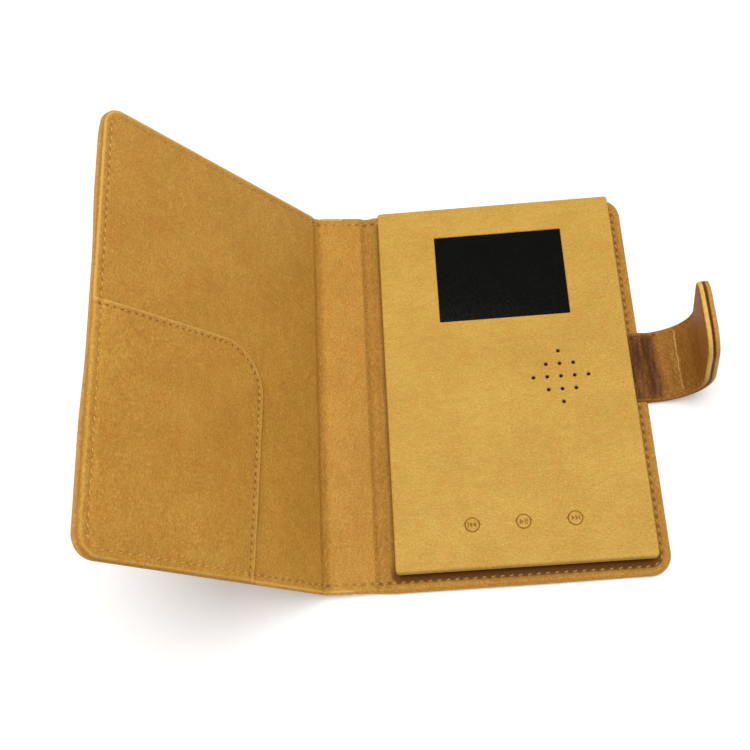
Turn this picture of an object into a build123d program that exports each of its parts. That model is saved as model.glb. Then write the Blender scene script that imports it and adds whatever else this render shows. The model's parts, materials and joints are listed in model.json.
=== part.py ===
from build123d import *
import os
from math import cos, radians, sin, tan

# A leather notebook folio that carries a video module on its back cover.
# X runs from the spine to the closure strap, Y to the head of the book and Z up from the table.
# The origin is on the underside of the back cover, midway between the fold by the spine and the free edge.
# The folio lies open with its front cover raised. Sizes are in millimetres and degrees.

# Covers
cover_height = 176.7
cover_depth = 118.0
cover_corner = 8.5
board_thickness = 1.6
leather_thickness = 0.7
spine_width = 24.0
back_groove = 7.0
front_groove = 8.0
spine_tilt = 8.4
front_angle = 54.6

# Pocket flap on the lining of the front cover
pocket_gap = 0.4
pocket_top_at_edge = 4.9
pocket_top_at_corner = 9.4
pocket_side_at_top = 35.6
pocket_side_at_foot = 41.6
pocket_corner = 20.0
pocket_seam = 3.4

# Closure strap, measured along its inner surface from the cover's edge
strap_width = 32.6
strap_centre_y = 2.3
strap_root_thickness = 2.2
strap_tip_thickness = 4.6
strap_root_angle = 4.5
strap_root_length = 3.4
strap_bend_radius = 18.8
strap_bend_angle = 94.5
strap_tip_length = 33.0
strap_tip_corner = 10.5
middle_bend_from = 25.5
middle_bend_length = 5.0
tongue_length = 9.0
tongue_thickness = 0.8
magnet_diameter = 12.0
magnet_thickness = 1.5
magnet_from_end = 12.0
plate_diameter = 14.0
plate_thickness = 0.8
plate_from_edge = 21.6

# Video module, outside
module_width = 105.9
module_length = 167.4
module_height = 10.0
module_offset_y = 0.65
module_corner = 2.0
face_edge_radius = 1.2
face_leather_thickness = 0.8
tray_recess = 2.0
tray_wall = 1.6
tray_floor = 1.0
tape_thickness = 0.2
fit_clearance = 0.1

# Screen
window_width = 57.6
window_length = 42.7
window_x = 1.15
window_from_head = 36.45
lens_overlap = 0.8
lens_thickness = 1.0
lcd_width = 69.2
lcd_length = 50.0
lcd_thickness = 2.5
lcd_shell = 0.3
lcd_gasket_thickness = 0.2
backlight_thickness = 1.0
cell_border = 3.2
ribbon_thickness = 0.2
lcd_ribbon_width = 20.0
lcd_ribbon_radius = 1.2
lcd_ribbon_inset = 4.0
lcd_ribbon_run = 7.0

# Speaker
speaker_x = 22.45
speaker_from_head = 87.3
speaker_diameter = 28.0
speaker_gasket_thickness = 0.3
speaker_wall = 0.8
speaker_plate = 0.8
speaker_magnet_diameter = 14.0
speaker_magnet_height = 2.2
speaker_terminal_width = 7.0
speaker_terminal_length = 4.0
speaker_terminal_thickness = 1.2
cone_thickness = 0.25
cone_dome_radius = 4.5
cone_depth = 0.9
cone_dome_rise = 0.5
gasket_width = 2.0
hole_diameter = 1.6
hole_pitch = 5.9
hole_steps = 2

# Buttons and their switches
button_from_foot = 17.6
button_centre_x = 0.35
button_pitch = 21.0
button_diameter = 5.7
button_clearance = 0.15
button_travel = 0.3
button_flange_diameter = 8.0
button_flange_thickness = 0.7
button_edge_radius = 0.3
switch_size = 5.2
switch_height = 1.4
plunger_diameter = 2.4
plunger_depth = 0.4
plunger_clearance = 0.1
button_board_end = 5.4
button_board_length = 9.0
button_ribbon_width = 5.7

# Main board and what it carries
pcb_thickness = 0.8
pcb_standoff = 0.5
standoff_diameter = 4.0
screw_shank_diameter = 1.6
screw_head_diameter = 3.0
screw_head_height = 0.8
screw_depth = 1.1
main_board_width = 76.0
main_board_length = 50.0
main_board_gap = 0.65
screw_inset = 3.4
connector_length = 4.0
connector_height = 1.2
socket_x = 24.0
socket_width = 7.5
socket_length = 5.8
socket_height = 2.6
socket_shell = 0.3
socket_tongue_width = 4.2
socket_tongue_thickness = 0.6
socket_tongue_length = 3.6
socket_recess = 0.4
socket_headroom = 0.4
socket_slot_clearance = 0.2

# Battery
battery_gap = 3.35
battery_from_foot = 33.05
battery_width = 34.0
battery_length = 52.0
battery_swelling_gap = 0.4
battery_corner = 1.5
battery_tape_thickness = 0.1
protection_board_width = 30.0
protection_board_length = 3.5
lead_diameter = 0.8
lead_spacing = 2.5
lead_sway = 3.0

# Heights and places that follow from these
cover_thickness = board_thickness + 2 * leather_thickness
fold_x = -cover_depth / 2
fold_z = cover_thickness / 2
edge_x = cover_depth / 2
half_board = board_thickness / 2
module_z = cover_thickness
module_head_y = module_offset_y + module_length / 2
module_foot_y = module_offset_y - module_length / 2
tray_z = module_z + tape_thickness
floor_z = tray_z + tray_floor
face_z = module_z + module_height
rim_z = floor_z + pcb_standoff + pcb_thickness + socket_height + socket_headroom
face_thickness = face_z - rim_z
face_board_z = face_z - face_leather_thickness
pcb_z = floor_z + pcb_standoff
pcb_top_z = pcb_z + pcb_thickness
lens_z = face_board_z - lens_thickness
lcd_top_z = lens_z - lcd_gasket_thickness
lcd_z = lcd_top_z - lcd_thickness
tray_width = module_width - 2 * tray_recess
tray_length = module_length - 2 * tray_recess
tray_head_y = module_offset_y + tray_length / 2
strap_bend_length = strap_bend_radius * radians(strap_bend_angle)
strap_bend_end = strap_root_length + strap_bend_length
middle_bend_to = middle_bend_from + middle_bend_length
window_y = module_head_y - window_from_head
speaker_y = module_head_y - speaker_from_head
button_y = module_foot_y + button_from_foot
button_board_width = 2 * (button_pitch + button_board_end) + switch_size
main_board_head_y = tray_head_y - tray_wall - main_board_gap
main_board_y = main_board_head_y - main_board_length / 2
main_board_foot_y = main_board_head_y - main_board_length
battery_thickness = rim_z - floor_z - battery_tape_thickness - battery_swelling_gap
battery_x = battery_gap + tray_wall + (battery_width - tray_width) / 2
battery_y = module_foot_y + battery_from_foot + battery_length / 2
wire_z = pcb_z + pcb_thickness / 2
strap_root_z = fold_z + strap_root_thickness / 2

os.makedirs("parts", exist_ok=True)


def save(piece, name):
    """Label a finished piece and write its file."""
    piece.part.label = name
    export_step(piece.part, f"parts/{name}.step")


def plate(name, x, y, z, width, length, thickness, corner=0.0):
    """A flat rectangular piece that lies level, centred at x and y with its underside at z."""
    with BuildPart() as piece:
        with BuildSketch(Plane.XY.offset(z)):
            with Locations((x, y)):
                if corner:
                    RectangleRounded(width, length, corner)
                else:
                    Rectangle(width, length)
        extrude(amount=thickness)
    save(piece, name)


def panel_plane(x, z, tilt):
    """Mid-plane of a cover panel: local x to the right along it, local z out of its inner face."""
    return Plane(
        origin=(x, 0, z),
        x_dir=(cos(radians(tilt)), 0, -sin(radians(tilt))),
        z_dir=(sin(radians(tilt)), 0, cos(radians(tilt))),
    )


back_plane = panel_plane(fold_x, fold_z, 0)
spine_plane = panel_plane(fold_x, fold_z, spine_tilt)
front_axis_x = fold_x - spine_width * cos(radians(spine_tilt))
front_axis_z = fold_z + spine_width * sin(radians(spine_tilt))
front_plane = panel_plane(front_axis_x, front_axis_z, front_angle)


def panel_outline(plane, left, right, free_end, inset=0.0):
    """A panel's outline, drawn in on its free sides, with round corners at its free end."""
    low = left + (inset if free_end == "left" else 0)
    high = right - (inset if free_end == "right" else 0)
    with BuildSketch(plane) as outline:
        with Locations(((low + high) / 2, 0)):
            Rectangle(high - low, cover_height - 2 * inset)
        if free_end:
            columns = outline.vertices().group_by(Axis.X)
            fillet(columns[-1] if free_end == "right" else columns[0], cover_corner - inset)
    return outline.sketch


# Covers: a board in a tray of outer leather, closed by the lining


def cover_board(plane, left, right, free_end):
    """The stiff board of one panel."""
    with BuildPart() as board:
        outline = panel_outline(plane.offset(-half_board), left, right, free_end, leather_thickness)
        extrude(outline, amount=board_thickness)
    return board


def cover_leather(name, plane, left, right, free_end):
    """Outer leather of one panel, turned up round the board's free sides."""
    with BuildPart() as leather:
        outer = panel_outline(plane.offset(-fold_z), left, right, free_end)
        extrude(outer, amount=cover_thickness - leather_thickness)
        inner = panel_outline(plane.offset(-half_board), left, right, free_end, leather_thickness)
        extrude(inner, amount=board_thickness, mode=Mode.SUBTRACT)
        if name == "back_outer_leather":
            extrude(tongue_outline(), amount=tongue_thickness, mode=Mode.SUBTRACT)
    save(leather, name)


def cover_lining(name, plane, left, right, free_end):
    """Lining of one panel, out to its edges."""
    with BuildPart() as lining:
        outline = panel_outline(plane.offset(half_board), left, right, free_end)
        extrude(outline, amount=leather_thickness)
    save(lining, name)


def tongue_outline():
    """Outline of the strap's tongue, under the lining at the right edge."""
    height = fold_z + half_board - tongue_thickness
    with BuildSketch(Plane.XY.offset(height)) as outline:
        with Locations((edge_x, strap_centre_y)):
            Rectangle(tongue_length, strap_width, align=(Align.MAX, Align.CENTER))
    return outline.sketch


back_span = (back_groove / 2, cover_depth, "right")
spine_span = (front_groove / 2 - spine_width, -back_groove / 2, None)
front_span = (-cover_depth, -front_groove / 2, "left")

back_board = cover_board(back_plane, *back_span)
with back_board:
    extrude(tongue_outline(), amount=tongue_thickness, mode=Mode.SUBTRACT)
save(back_board, "back_board")
cover_leather("back_outer_leather", back_plane, *back_span)
cover_lining("back_lining", back_plane, *back_span)

save(cover_board(spine_plane, *spine_span), "spine_board")
cover_leather("spine_outer_leather", spine_plane, *spine_span)
cover_lining("spine_lining", spine_plane, *spine_span)


def closure_plate_outline(clearance):
    """The disc that the strap's magnet meets, near the middle of the front cover's free edge."""
    with BuildSketch(front_plane.offset(-half_board)) as outline:
        with Locations((plate_from_edge - cover_depth, strap_centre_y)):
            Circle(plate_diameter / 2 + clearance)
    return outline.sketch


front_board = cover_board(front_plane, *front_span)
with front_board:
    extrude(closure_plate_outline(fit_clearance), amount=plate_thickness, mode=Mode.SUBTRACT)
save(front_board, "front_board")
cover_leather("front_outer_leather", front_plane, *front_span)
cover_lining("front_lining", front_plane, *front_span)

with BuildPart() as closure_plate:
    extrude(closure_plate_outline(0), amount=plate_thickness)
save(closure_plate, "closure_plate")


# Grooves: two layers of leather that bend between the panels


def groove_strip(name, axis, reach, first_tilt, second_tilt, near, far):
    """A leather strip bent in an arc between two panels, between two depths from mid-thickness."""
    bend = radians(second_tilt - first_tilt)
    radius = reach / tan(bend / 2)
    to_centre = radius / cos(bend / 2)
    first, second = radians(first_tilt), radians(second_tilt)
    middle = (first + second) / 2

    def arc_points(depth):
        start = axis + Vector(reach * cos(first) + depth * sin(first),
                              -reach * sin(first) + depth * cos(first))
        centre_gap = to_centre - radius + depth
        halfway = axis + Vector(sin(middle), cos(middle)) * centre_gap
        end = axis + Vector(-reach * cos(second) + depth * sin(second),
                            reach * sin(second) + depth * cos(second))
        return start, halfway, end

    lower = arc_points(near)
    upper = arc_points(far)
    with BuildPart() as strip:
        with BuildSketch(Plane.XZ):
            with BuildLine():
                ThreePointArc(*lower)
                Line(lower[2], upper[2])
                ThreePointArc(*upper)
                Line(upper[0], lower[0])
            make_face()
        extrude(amount=cover_height / 2, both=True)
    save(strip, name)


back_axis_point = Vector(fold_x, fold_z)
front_axis_point = Vector(front_axis_x, front_axis_z)
for layer, near, far in (("outer_leather", -leather_thickness, 0.0), ("lining", 0.0, leather_thickness)):
    groove_strip(f"back_groove_{layer}", back_axis_point, back_groove / 2, 0.0, spine_tilt, near, far)
    groove_strip(
        f"front_groove_{layer}", front_axis_point, front_groove / 2, spine_tilt, front_angle, near, far
    )


# Pocket: a flap sewn down at the free edge and the foot of the front cover

with BuildPart() as pocket_flap:
    with BuildSketch(front_plane.offset(fold_z)) as flap_outline:
        with BuildLine():
            Polyline(
                (-cover_depth, -cover_height / 2),
                (-cover_depth, pocket_top_at_edge),
                (-pocket_side_at_top, pocket_top_at_corner),
                (-pocket_side_at_foot, -cover_height / 2),
                close=True,
            )
        make_face()
        fillet(flap_outline.vertices().group_by(Axis.X)[-1], pocket_corner)
        fillet(flap_outline.vertices().group_by(Axis.X)[0].sort_by(Axis.Y)[0], cover_corner)
    extrude(amount=pocket_gap + leather_thickness)
    with BuildSketch(front_plane.offset(fold_z)):
        with Locations((pocket_seam - cover_depth, pocket_seam - cover_height / 2)):
            Rectangle(cover_depth, cover_height, align=(Align.MIN, Align.MIN))
    extrude(amount=pocket_gap, mode=Mode.SUBTRACT)
save(pocket_flap, "pocket_flap")


# Closure strap: two padded lengths joined by bends


def strap_thickness(distance):
    """Thickness of the strap, growing through its bend."""
    along = min(max((distance - strap_root_length) / strap_bend_length, 0), 1)
    return strap_root_thickness + along * (strap_tip_thickness - strap_root_thickness)


def strap_point(distance, depth):
    """A point of the strap's side view, at a depth under its inner surface."""
    start = radians(strap_root_angle)
    straight = min(distance, strap_root_length)
    turned = min(max(distance - strap_root_length, 0), strap_bend_length) / strap_bend_radius
    heading = start + turned
    beyond = max(distance - strap_bend_end, 0)
    x = edge_x + straight * cos(start) + beyond * cos(heading)
    x += strap_bend_radius * (sin(heading) - sin(start)) + depth * sin(heading)
    z = strap_root_z + straight * sin(start) + beyond * sin(heading)
    z += strap_bend_radius * (cos(start) - cos(heading)) - depth * cos(heading)
    return x, z


def strap_side(start, end, near, far):
    """Side view of one layer of the strap, within its root or within its bend."""
    halfway = (start + end) / 2
    inner = [strap_point(at, near(strap_thickness(at))) for at in (start, halfway, end)]
    outer = [strap_point(at, far(strap_thickness(at))) for at in (start, halfway, end)]
    with BuildSketch(Plane.XZ.offset(-strap_centre_y)) as side:
        with BuildLine():
            if end > strap_root_length:
                ThreePointArc(*inner)
                ThreePointArc(*outer)
            else:
                Line(inner[0], inner[2])
                Line(outer[0], outer[2])
            Line(inner[0], outer[0])
            Line(inner[2], outer[2])
        make_face()
    return side.sketch


def strap_tip_outline(depth, layer_width):
    """Outline of the straight tip of the strap, at a depth under its inner surface."""
    heading = radians(strap_root_angle + strap_bend_angle)
    x, z = strap_point(strap_bend_end, depth)
    plane = Plane(
        origin=(x, strap_centre_y, z),
        x_dir=(cos(heading), 0, sin(heading)),
        z_dir=(sin(heading), 0, -cos(heading)),
    )
    with BuildSketch(plane) as outline:
        Rectangle(strap_tip_length, layer_width, align=(Align.MIN, Align.CENTER))
        fillet(outline.vertices().group_by(Axis.X)[-1], strap_tip_corner)
    return outline.sketch


def surface(thickness):
    return 0.0


def under_lining(thickness):
    return leather_thickness


def over_leather(thickness):
    return thickness - leather_thickness


def outside(thickness):
    return thickness


def magnet_outline(depth, clearance):
    """The magnet's disc, level with the strap's padding."""
    heading = radians(strap_root_angle + strap_bend_angle)
    x, z = strap_point(strap_bend_end + strap_tip_length - magnet_from_end, depth)
    plane = Plane(
        origin=(x, strap_centre_y, z),
        x_dir=(cos(heading), 0, sin(heading)),
        z_dir=(sin(heading), 0, -cos(heading)),
    )
    with BuildSketch(plane) as disc:
        Circle(magnet_diameter / 2 + clearance)
    return disc.sketch



def strap_layer(name, stretches, near, far, tip_depth=None, tip_thickness=0.0, magnet_depth=None):
    """One layer of one length of the strap, with its straight tip where tip_depth is given."""
    with BuildPart() as layer:
        for start, end in stretches:
            extrude(strap_side(start, end, near, far), amount=strap_width / 2, both=True)
        if tip_depth is not None:
            extrude(strap_tip_outline(tip_depth, strap_width), amount=tip_thickness)
        if magnet_depth is not None:
            extrude(magnet_outline(magnet_depth, fit_clearance), amount=magnet_thickness, mode=Mode.SUBTRACT)
    save(layer, name)


with BuildPart() as strap_anchor_tongue:
    extrude(tongue_outline(), amount=tongue_thickness)
save(strap_anchor_tongue, "strap_anchor_tongue")

root_stretch = [(strap_root_length, middle_bend_from)]
tip_stretch = [(middle_bend_to, strap_bend_end)]
padding_at_tip = strap_tip_thickness - 2 * leather_thickness
magnet_depth = (strap_tip_thickness - magnet_thickness) / 2

strap_layer("strap_root_bend", [(0.0, strap_root_length)], surface, outside)
strap_layer("strap_root_lining", root_stretch, surface, under_lining)
strap_layer("strap_root_padding", root_stretch, under_lining, over_leather)
strap_layer("strap_root_outer_leather", root_stretch, over_leather, outside)
strap_layer("strap_middle_bend", [(middle_bend_from, middle_bend_to)], surface, outside)
strap_layer("strap_tip_lining", tip_stretch, surface, under_lining, 0.0, leather_thickness)
strap_layer(
    "strap_tip_padding", tip_stretch, under_lining, over_leather,
    leather_thickness, padding_at_tip, magnet_depth,
)
strap_layer(
    "strap_tip_outer_leather", tip_stretch, over_leather, outside,
    strap_tip_thickness - leather_thickness, leather_thickness,
)

with BuildPart() as closure_magnet:
    extrude(magnet_outline(magnet_depth, 0), amount=magnet_thickness)
save(closure_magnet, "closure_magnet")


# Video module: a tray taped to the lining, under a face board wrapped in leather


def speaker_holes(height):
    """Round sound holes in a diamond."""
    steps = range(-hole_steps, hole_steps + 1)
    places = [(i, j) for i in steps for j in steps if abs(i) + abs(j) <= hole_steps]
    with BuildSketch(Plane.XY.offset(height)) as holes:
        with Locations(*[(speaker_x + i * hole_pitch, speaker_y + j * hole_pitch) for i, j in places]):
            Circle(hole_diameter / 2)
    return holes.sketch


def button_places():
    return [(button_centre_x + step * button_pitch, button_y) for step in (-1, 0, 1)]


def button_holes(height):
    """The holes that the three buttons run in."""
    with BuildSketch(Plane.XY.offset(height)) as holes:
        with Locations(*button_places()):
            Circle(button_diameter / 2 + button_clearance)
    return holes.sketch


def screen_rectangle(height, width, length):
    """A rectangle over the screen's centre."""
    with BuildSketch(Plane.XY.offset(height)) as outline:
        with Locations((window_x, window_y)):
            Rectangle(width, length)
    return outline.sketch


def module_rectangle(height, inset):
    """The module's outline, drawn in on all sides."""
    with BuildSketch(Plane.XY.offset(height)) as outline:
        with Locations((0, module_offset_y)):
            RectangleRounded(module_width - 2 * inset, module_length - 2 * inset, module_corner - inset)
    return outline.sketch


lens_width = window_width + 2 * lens_overlap
lens_length = window_length + 2 * lens_overlap

with BuildPart() as face_leather:
    extrude(module_rectangle(rim_z, 0), amount=face_thickness)
    fillet(face_leather.faces().sort_by(Axis.Z)[-1].edges(), face_edge_radius)
    board_space = module_rectangle(rim_z, face_leather_thickness)
    extrude(board_space, amount=face_board_z - rim_z, mode=Mode.SUBTRACT)
    window = screen_rectangle(face_board_z, window_width, window_length)
    extrude(window, amount=face_leather_thickness, mode=Mode.SUBTRACT)
    extrude(speaker_holes(face_board_z), amount=face_leather_thickness, mode=Mode.SUBTRACT)
    extrude(button_holes(face_board_z), amount=face_leather_thickness, mode=Mode.SUBTRACT)
save(face_leather, "face_leather")

with BuildPart() as face_board:
    extrude(module_rectangle(rim_z, face_leather_thickness), amount=face_board_z - rim_z)
    lcd_space = screen_rectangle(rim_z, lcd_width + 2 * fit_clearance, lcd_length + 2 * fit_clearance)
    extrude(lcd_space, amount=lens_z - rim_z, mode=Mode.SUBTRACT)
    lens_space = screen_rectangle(lens_z, lens_width + 2 * fit_clearance, lens_length + 2 * fit_clearance)
    extrude(lens_space, amount=lens_thickness, mode=Mode.SUBTRACT)
    extrude(speaker_holes(rim_z), amount=face_board_z - rim_z, mode=Mode.SUBTRACT)
    extrude(button_holes(rim_z), amount=face_board_z - rim_z, mode=Mode.SUBTRACT)
save(face_board, "face_board")

plate(
    "module_tape", 0, module_offset_y, module_z, tray_width - 2 * tray_wall, tray_length - 2 * tray_wall,
    tape_thickness,
)


def main_board_screws():
    """Screw places at the four corners of the main board."""
    half_width = main_board_width / 2 - screw_inset
    half_length = main_board_length / 2 - screw_inset
    sides = [(x, y) for x in (-1, 1) for y in (-1, 1)]
    return [(x * half_width, main_board_y + y * half_length) for x, y in sides]


def button_board_screws():
    """Screw places at the two ends of the button board."""
    reach = button_board_width / 2 - screw_inset
    return [(button_centre_x - reach, button_y), (button_centre_x + reach, button_y)]


screw_places = main_board_screws() + button_board_screws()

with BuildPart() as module_tray:
    with BuildSketch(Plane.XY.offset(tray_z)):
        with Locations((0, module_offset_y)):
            Rectangle(tray_width, tray_length)
    extrude(amount=rim_z - tray_z)
    with BuildSketch(Plane.XY.offset(floor_z)):
        with Locations((0, module_offset_y)):
            Rectangle(tray_width - 2 * tray_wall, tray_length - 2 * tray_wall)
    extrude(amount=rim_z - floor_z, mode=Mode.SUBTRACT)
    with BuildSketch(Plane.XY.offset(floor_z)):
        with Locations(*screw_places):
            Circle(standoff_diameter / 2)
    extrude(amount=pcb_standoff)
    with BuildSketch(Plane.XY.offset(pcb_z)):
        with Locations(*screw_places):
            Circle(screw_shank_diameter / 2)
    extrude(amount=-screw_depth, mode=Mode.SUBTRACT)
    with BuildSketch(Plane.XY.offset(pcb_top_z - socket_slot_clearance)):
        with Locations((socket_x, tray_head_y)):
            Rectangle(socket_width + 2 * socket_slot_clearance, 2 * tray_wall)
    extrude(amount=rim_z - pcb_top_z + socket_slot_clearance, mode=Mode.SUBTRACT)
save(module_tray, "module_tray")


# Screen, from the lens down


def screen_plate(name, z, width, length, thickness):
    """A flat layer of the screen, centred under the window."""
    plate(name, window_x, window_y, z, width, length, thickness)


screen_plate("screen_lens", lens_z, lens_width, lens_length, lens_thickness)

with BuildPart() as lcd_gasket:
    extrude(screen_rectangle(lcd_top_z, lcd_width, lcd_length), amount=lcd_gasket_thickness)
    view = screen_rectangle(lcd_top_z, window_width, window_length)
    extrude(view, amount=lcd_gasket_thickness, mode=Mode.SUBTRACT)
save(lcd_gasket, "lcd_gasket")

cell_width = lcd_width - 2 * lcd_shell
cell_length = lcd_length - 2 * lcd_shell
cell_thickness = lcd_thickness - lcd_shell - backlight_thickness

with BuildPart() as lcd_frame:
    extrude(screen_rectangle(lcd_z, lcd_width, lcd_length), amount=lcd_thickness)
    inside = screen_rectangle(lcd_z, cell_width, cell_length)
    extrude(inside, amount=lcd_thickness - lcd_shell, mode=Mode.SUBTRACT)
    view = screen_rectangle(lcd_z, cell_width - 2 * cell_border, cell_length - 2 * cell_border)
    extrude(view, amount=lcd_thickness, mode=Mode.SUBTRACT)
save(lcd_frame, "lcd_frame")

screen_plate("lcd_backlight", lcd_z, cell_width, cell_length, backlight_thickness)
screen_plate("lcd_cell", lcd_z + backlight_thickness, cell_width, cell_length, cell_thickness)

ribbon_start_y = window_y - cell_length / 2 + lcd_ribbon_inset
ribbon_end_y = ribbon_start_y + lcd_ribbon_run
ribbon_low_z = pcb_top_z + connector_height / 2

with BuildPart() as lcd_ribbon:
    with BuildSketch(Plane.YZ.offset(window_x)) as ribbon_side:
        with BuildLine() as ribbon_path:
            FilletPolyline(
                (ribbon_start_y, lcd_z), (ribbon_start_y, ribbon_low_z), (ribbon_end_y, ribbon_low_z),
                radius=lcd_ribbon_radius,
            )
            offset(amount=ribbon_thickness, side=Side.LEFT)
        make_face()
    extrude(amount=lcd_ribbon_width / 2, both=True)
save(lcd_ribbon, "lcd_ribbon")


# Main board and the pieces on it

with BuildPart() as main_board:
    with BuildSketch(Plane.XY.offset(pcb_z)):
        with Locations((0, main_board_y)):
            Rectangle(main_board_width, main_board_length)
        with Locations(*main_board_screws()):
            Circle(screw_shank_diameter / 2, mode=Mode.SUBTRACT)
    extrude(amount=pcb_thickness)
save(main_board, "main_board")

with BuildPart() as board_screws:
    with BuildSketch(Plane.XY.offset(pcb_top_z)):
        with Locations(*screw_places):
            Circle(screw_head_diameter / 2)
    extrude(amount=screw_head_height)
    with BuildSketch(Plane.XY.offset(pcb_top_z)):
        with Locations(*screw_places):
            Circle(screw_shank_diameter / 2)
    extrude(amount=-(pcb_thickness + screw_depth))
save(board_screws, "board_screws")

connector_y = ribbon_end_y + connector_length / 2
plate(
    "ribbon_connector", window_x, connector_y, pcb_top_z, lcd_ribbon_width + 2, connector_length,
    connector_height,
)
chips = {
    "processor": (-14.0, 1.0, 12.0, 12.0, 1.2),
    "memory_chip": (7.0, 3.0, 10.0, 8.0, 1.0),
    "amplifier_chip": (26.0, -11.0, 5.0, 5.0, 0.9),
}
for chip, (chip_x, from_middle, chip_width, chip_length, chip_height) in chips.items():
    plate(chip, chip_x, main_board_y + from_middle, pcb_top_z, chip_width, chip_length, chip_height)

socket_mouth_y = tray_head_y - socket_recess

with BuildPart() as usb_socket:
    with BuildSketch(Plane.XY.offset(pcb_top_z)):
        with Locations((socket_x, socket_mouth_y)):
            Rectangle(socket_width, socket_length, align=(Align.CENTER, Align.MAX))
    extrude(amount=socket_height)
    with BuildSketch(Plane.XY.offset(pcb_top_z + socket_shell)):
        with Locations((socket_x, socket_mouth_y)):
            mouth_width = socket_width - 2 * socket_shell
            mouth_depth = socket_length - socket_shell
            Rectangle(mouth_width, mouth_depth, align=(Align.CENTER, Align.MAX))
    extrude(amount=socket_height - 2 * socket_shell, mode=Mode.SUBTRACT)
    with BuildSketch(Plane.XY.offset(pcb_top_z + (socket_height - socket_tongue_thickness) / 2)):
        with Locations((socket_x, socket_mouth_y - mouth_depth)):
            Rectangle(socket_tongue_width, socket_tongue_length, align=(Align.CENTER, Align.MIN))
    extrude(amount=socket_tongue_thickness)
save(usb_socket, "usb_socket")


# Battery

plate(
    "battery_tape", battery_x, battery_y, floor_z, battery_width - 2 * battery_corner,
    battery_length - 2 * battery_corner, battery_tape_thickness,
)

with BuildPart() as battery_pouch:
    with BuildSketch(Plane.XY.offset(floor_z + battery_tape_thickness)):
        with Locations((battery_x, battery_y)):
            Rectangle(battery_width, battery_length)
    extrude(amount=battery_thickness)
    fillet(battery_pouch.edges().filter_by(Axis.Y), battery_corner)
save(battery_pouch, "battery_pouch")

protection_board_foot_y = battery_y + battery_length / 2
plate(
    "battery_protection_board", battery_x, protection_board_foot_y + protection_board_length / 2, pcb_z,
    protection_board_width, protection_board_length, pcb_thickness,
)


def bend_radii(points):
    """For each inner corner of a route, the radius of an arc as large as its two runs allow."""
    runs = [end - start for start, end in zip(points, points[1:])]
    radii = []
    for before, after in zip(runs, runs[1:]):
        half_turn = radians(before.get_angle(after)) / 2
        radii.append(0.45 * min(before.length, after.length) / tan(half_turn))
    return radii


def lead_pair(name, x, start_y, end_y):
    """Two round wires side by side, bowed to one side, from one edge face to another."""
    step = (end_y - start_y) / 6
    with BuildPart() as leads:
        for lead_x in (x, x + lead_spacing):
            route = [
                Vector(lead_x, start_y, wire_z),
                Vector(lead_x, start_y + step, wire_z),
                Vector(lead_x + lead_sway, start_y + 3 * step, wire_z),
                Vector(lead_x, end_y - step, wire_z),
                Vector(lead_x, end_y, wire_z),
            ]
            with BuildLine() as path:
                FilletPolyline(*route, radius=bend_radii(route))
            with BuildSketch(Plane(origin=(lead_x, start_y, wire_z), z_dir=(0, 1, 0))) as section:
                Circle(lead_diameter / 2)
            sweep(sections=section.sketch, path=path.wires()[0])
    save(leads, name)


battery_lead_start_y = protection_board_foot_y + protection_board_length
lead_pair("battery_leads", battery_x + 2 * lead_spacing, battery_lead_start_y, main_board_foot_y)


# Speaker

speaker_radius = speaker_diameter / 2
speaker_top_z = rim_z - speaker_gasket_thickness
speaker_height = speaker_top_z - floor_z
terminal_head_y = speaker_y + speaker_radius + speaker_terminal_length / 2


def speaker_circle(height, radius):
    """A circle about the speaker's axis."""
    with BuildSketch(Plane.XY.offset(height)) as circle:
        with Locations((speaker_x, speaker_y)):
            Circle(radius)
    return circle.sketch


with BuildPart() as speaker_frame:
    extrude(speaker_circle(floor_z, speaker_radius), amount=speaker_height)
    with BuildSketch(Plane.XY.offset(wire_z - speaker_terminal_thickness / 2)):
        with Locations((speaker_x, terminal_head_y)):
            size = (speaker_terminal_width, speaker_terminal_length)
            Rectangle(*size, align=(Align.CENTER, Align.MAX))
    extrude(amount=speaker_terminal_thickness)
    bowl = speaker_circle(floor_z + speaker_plate, speaker_radius - speaker_wall)
    extrude(bowl, amount=speaker_height, mode=Mode.SUBTRACT)
    extrude(speaker_circle(floor_z, speaker_magnet_diameter / 2), amount=speaker_plate, mode=Mode.SUBTRACT)
save(speaker_frame, "speaker_frame")

with BuildPart() as speaker_magnet:
    extrude(speaker_circle(floor_z, speaker_magnet_diameter / 2), amount=speaker_magnet_height)
    chamfer(speaker_magnet.faces().sort_by(Axis.Z)[-1].edges(), cone_thickness)
save(speaker_magnet, "speaker_magnet")

cone_rim_radius = speaker_radius - speaker_wall

with BuildPart() as speaker_cone:
    with BuildSketch(Plane.XZ.offset(-speaker_y)):
        with BuildLine():
            Polyline(
                (speaker_x, speaker_top_z - cone_depth + cone_dome_rise),
                (speaker_x + cone_dome_radius, speaker_top_z - cone_depth),
                (speaker_x + cone_rim_radius - 1, speaker_top_z),
                (speaker_x + cone_rim_radius, speaker_top_z),
                (speaker_x + cone_rim_radius, speaker_top_z - cone_thickness),
                (speaker_x + cone_rim_radius - 1, speaker_top_z - cone_thickness),
                (speaker_x + cone_dome_radius, speaker_top_z - cone_depth - cone_thickness),
                (speaker_x, speaker_top_z - cone_depth + cone_dome_rise - cone_thickness),
                close=True,
            )
        make_face()
    revolve(axis=Axis((speaker_x, speaker_y, 0), (0, 0, 1)))
save(speaker_cone, "speaker_cone")

with BuildPart() as speaker_gasket:
    extrude(speaker_circle(speaker_top_z, speaker_radius), amount=speaker_gasket_thickness)
    sound_way = speaker_circle(speaker_top_z, speaker_radius - gasket_width)
    extrude(sound_way, amount=speaker_gasket_thickness, mode=Mode.SUBTRACT)
save(speaker_gasket, "speaker_gasket")

lead_pair("speaker_leads", speaker_x - lead_spacing / 2, terminal_head_y, main_board_foot_y)


# Buttons, which press through the face on to switches

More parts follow.
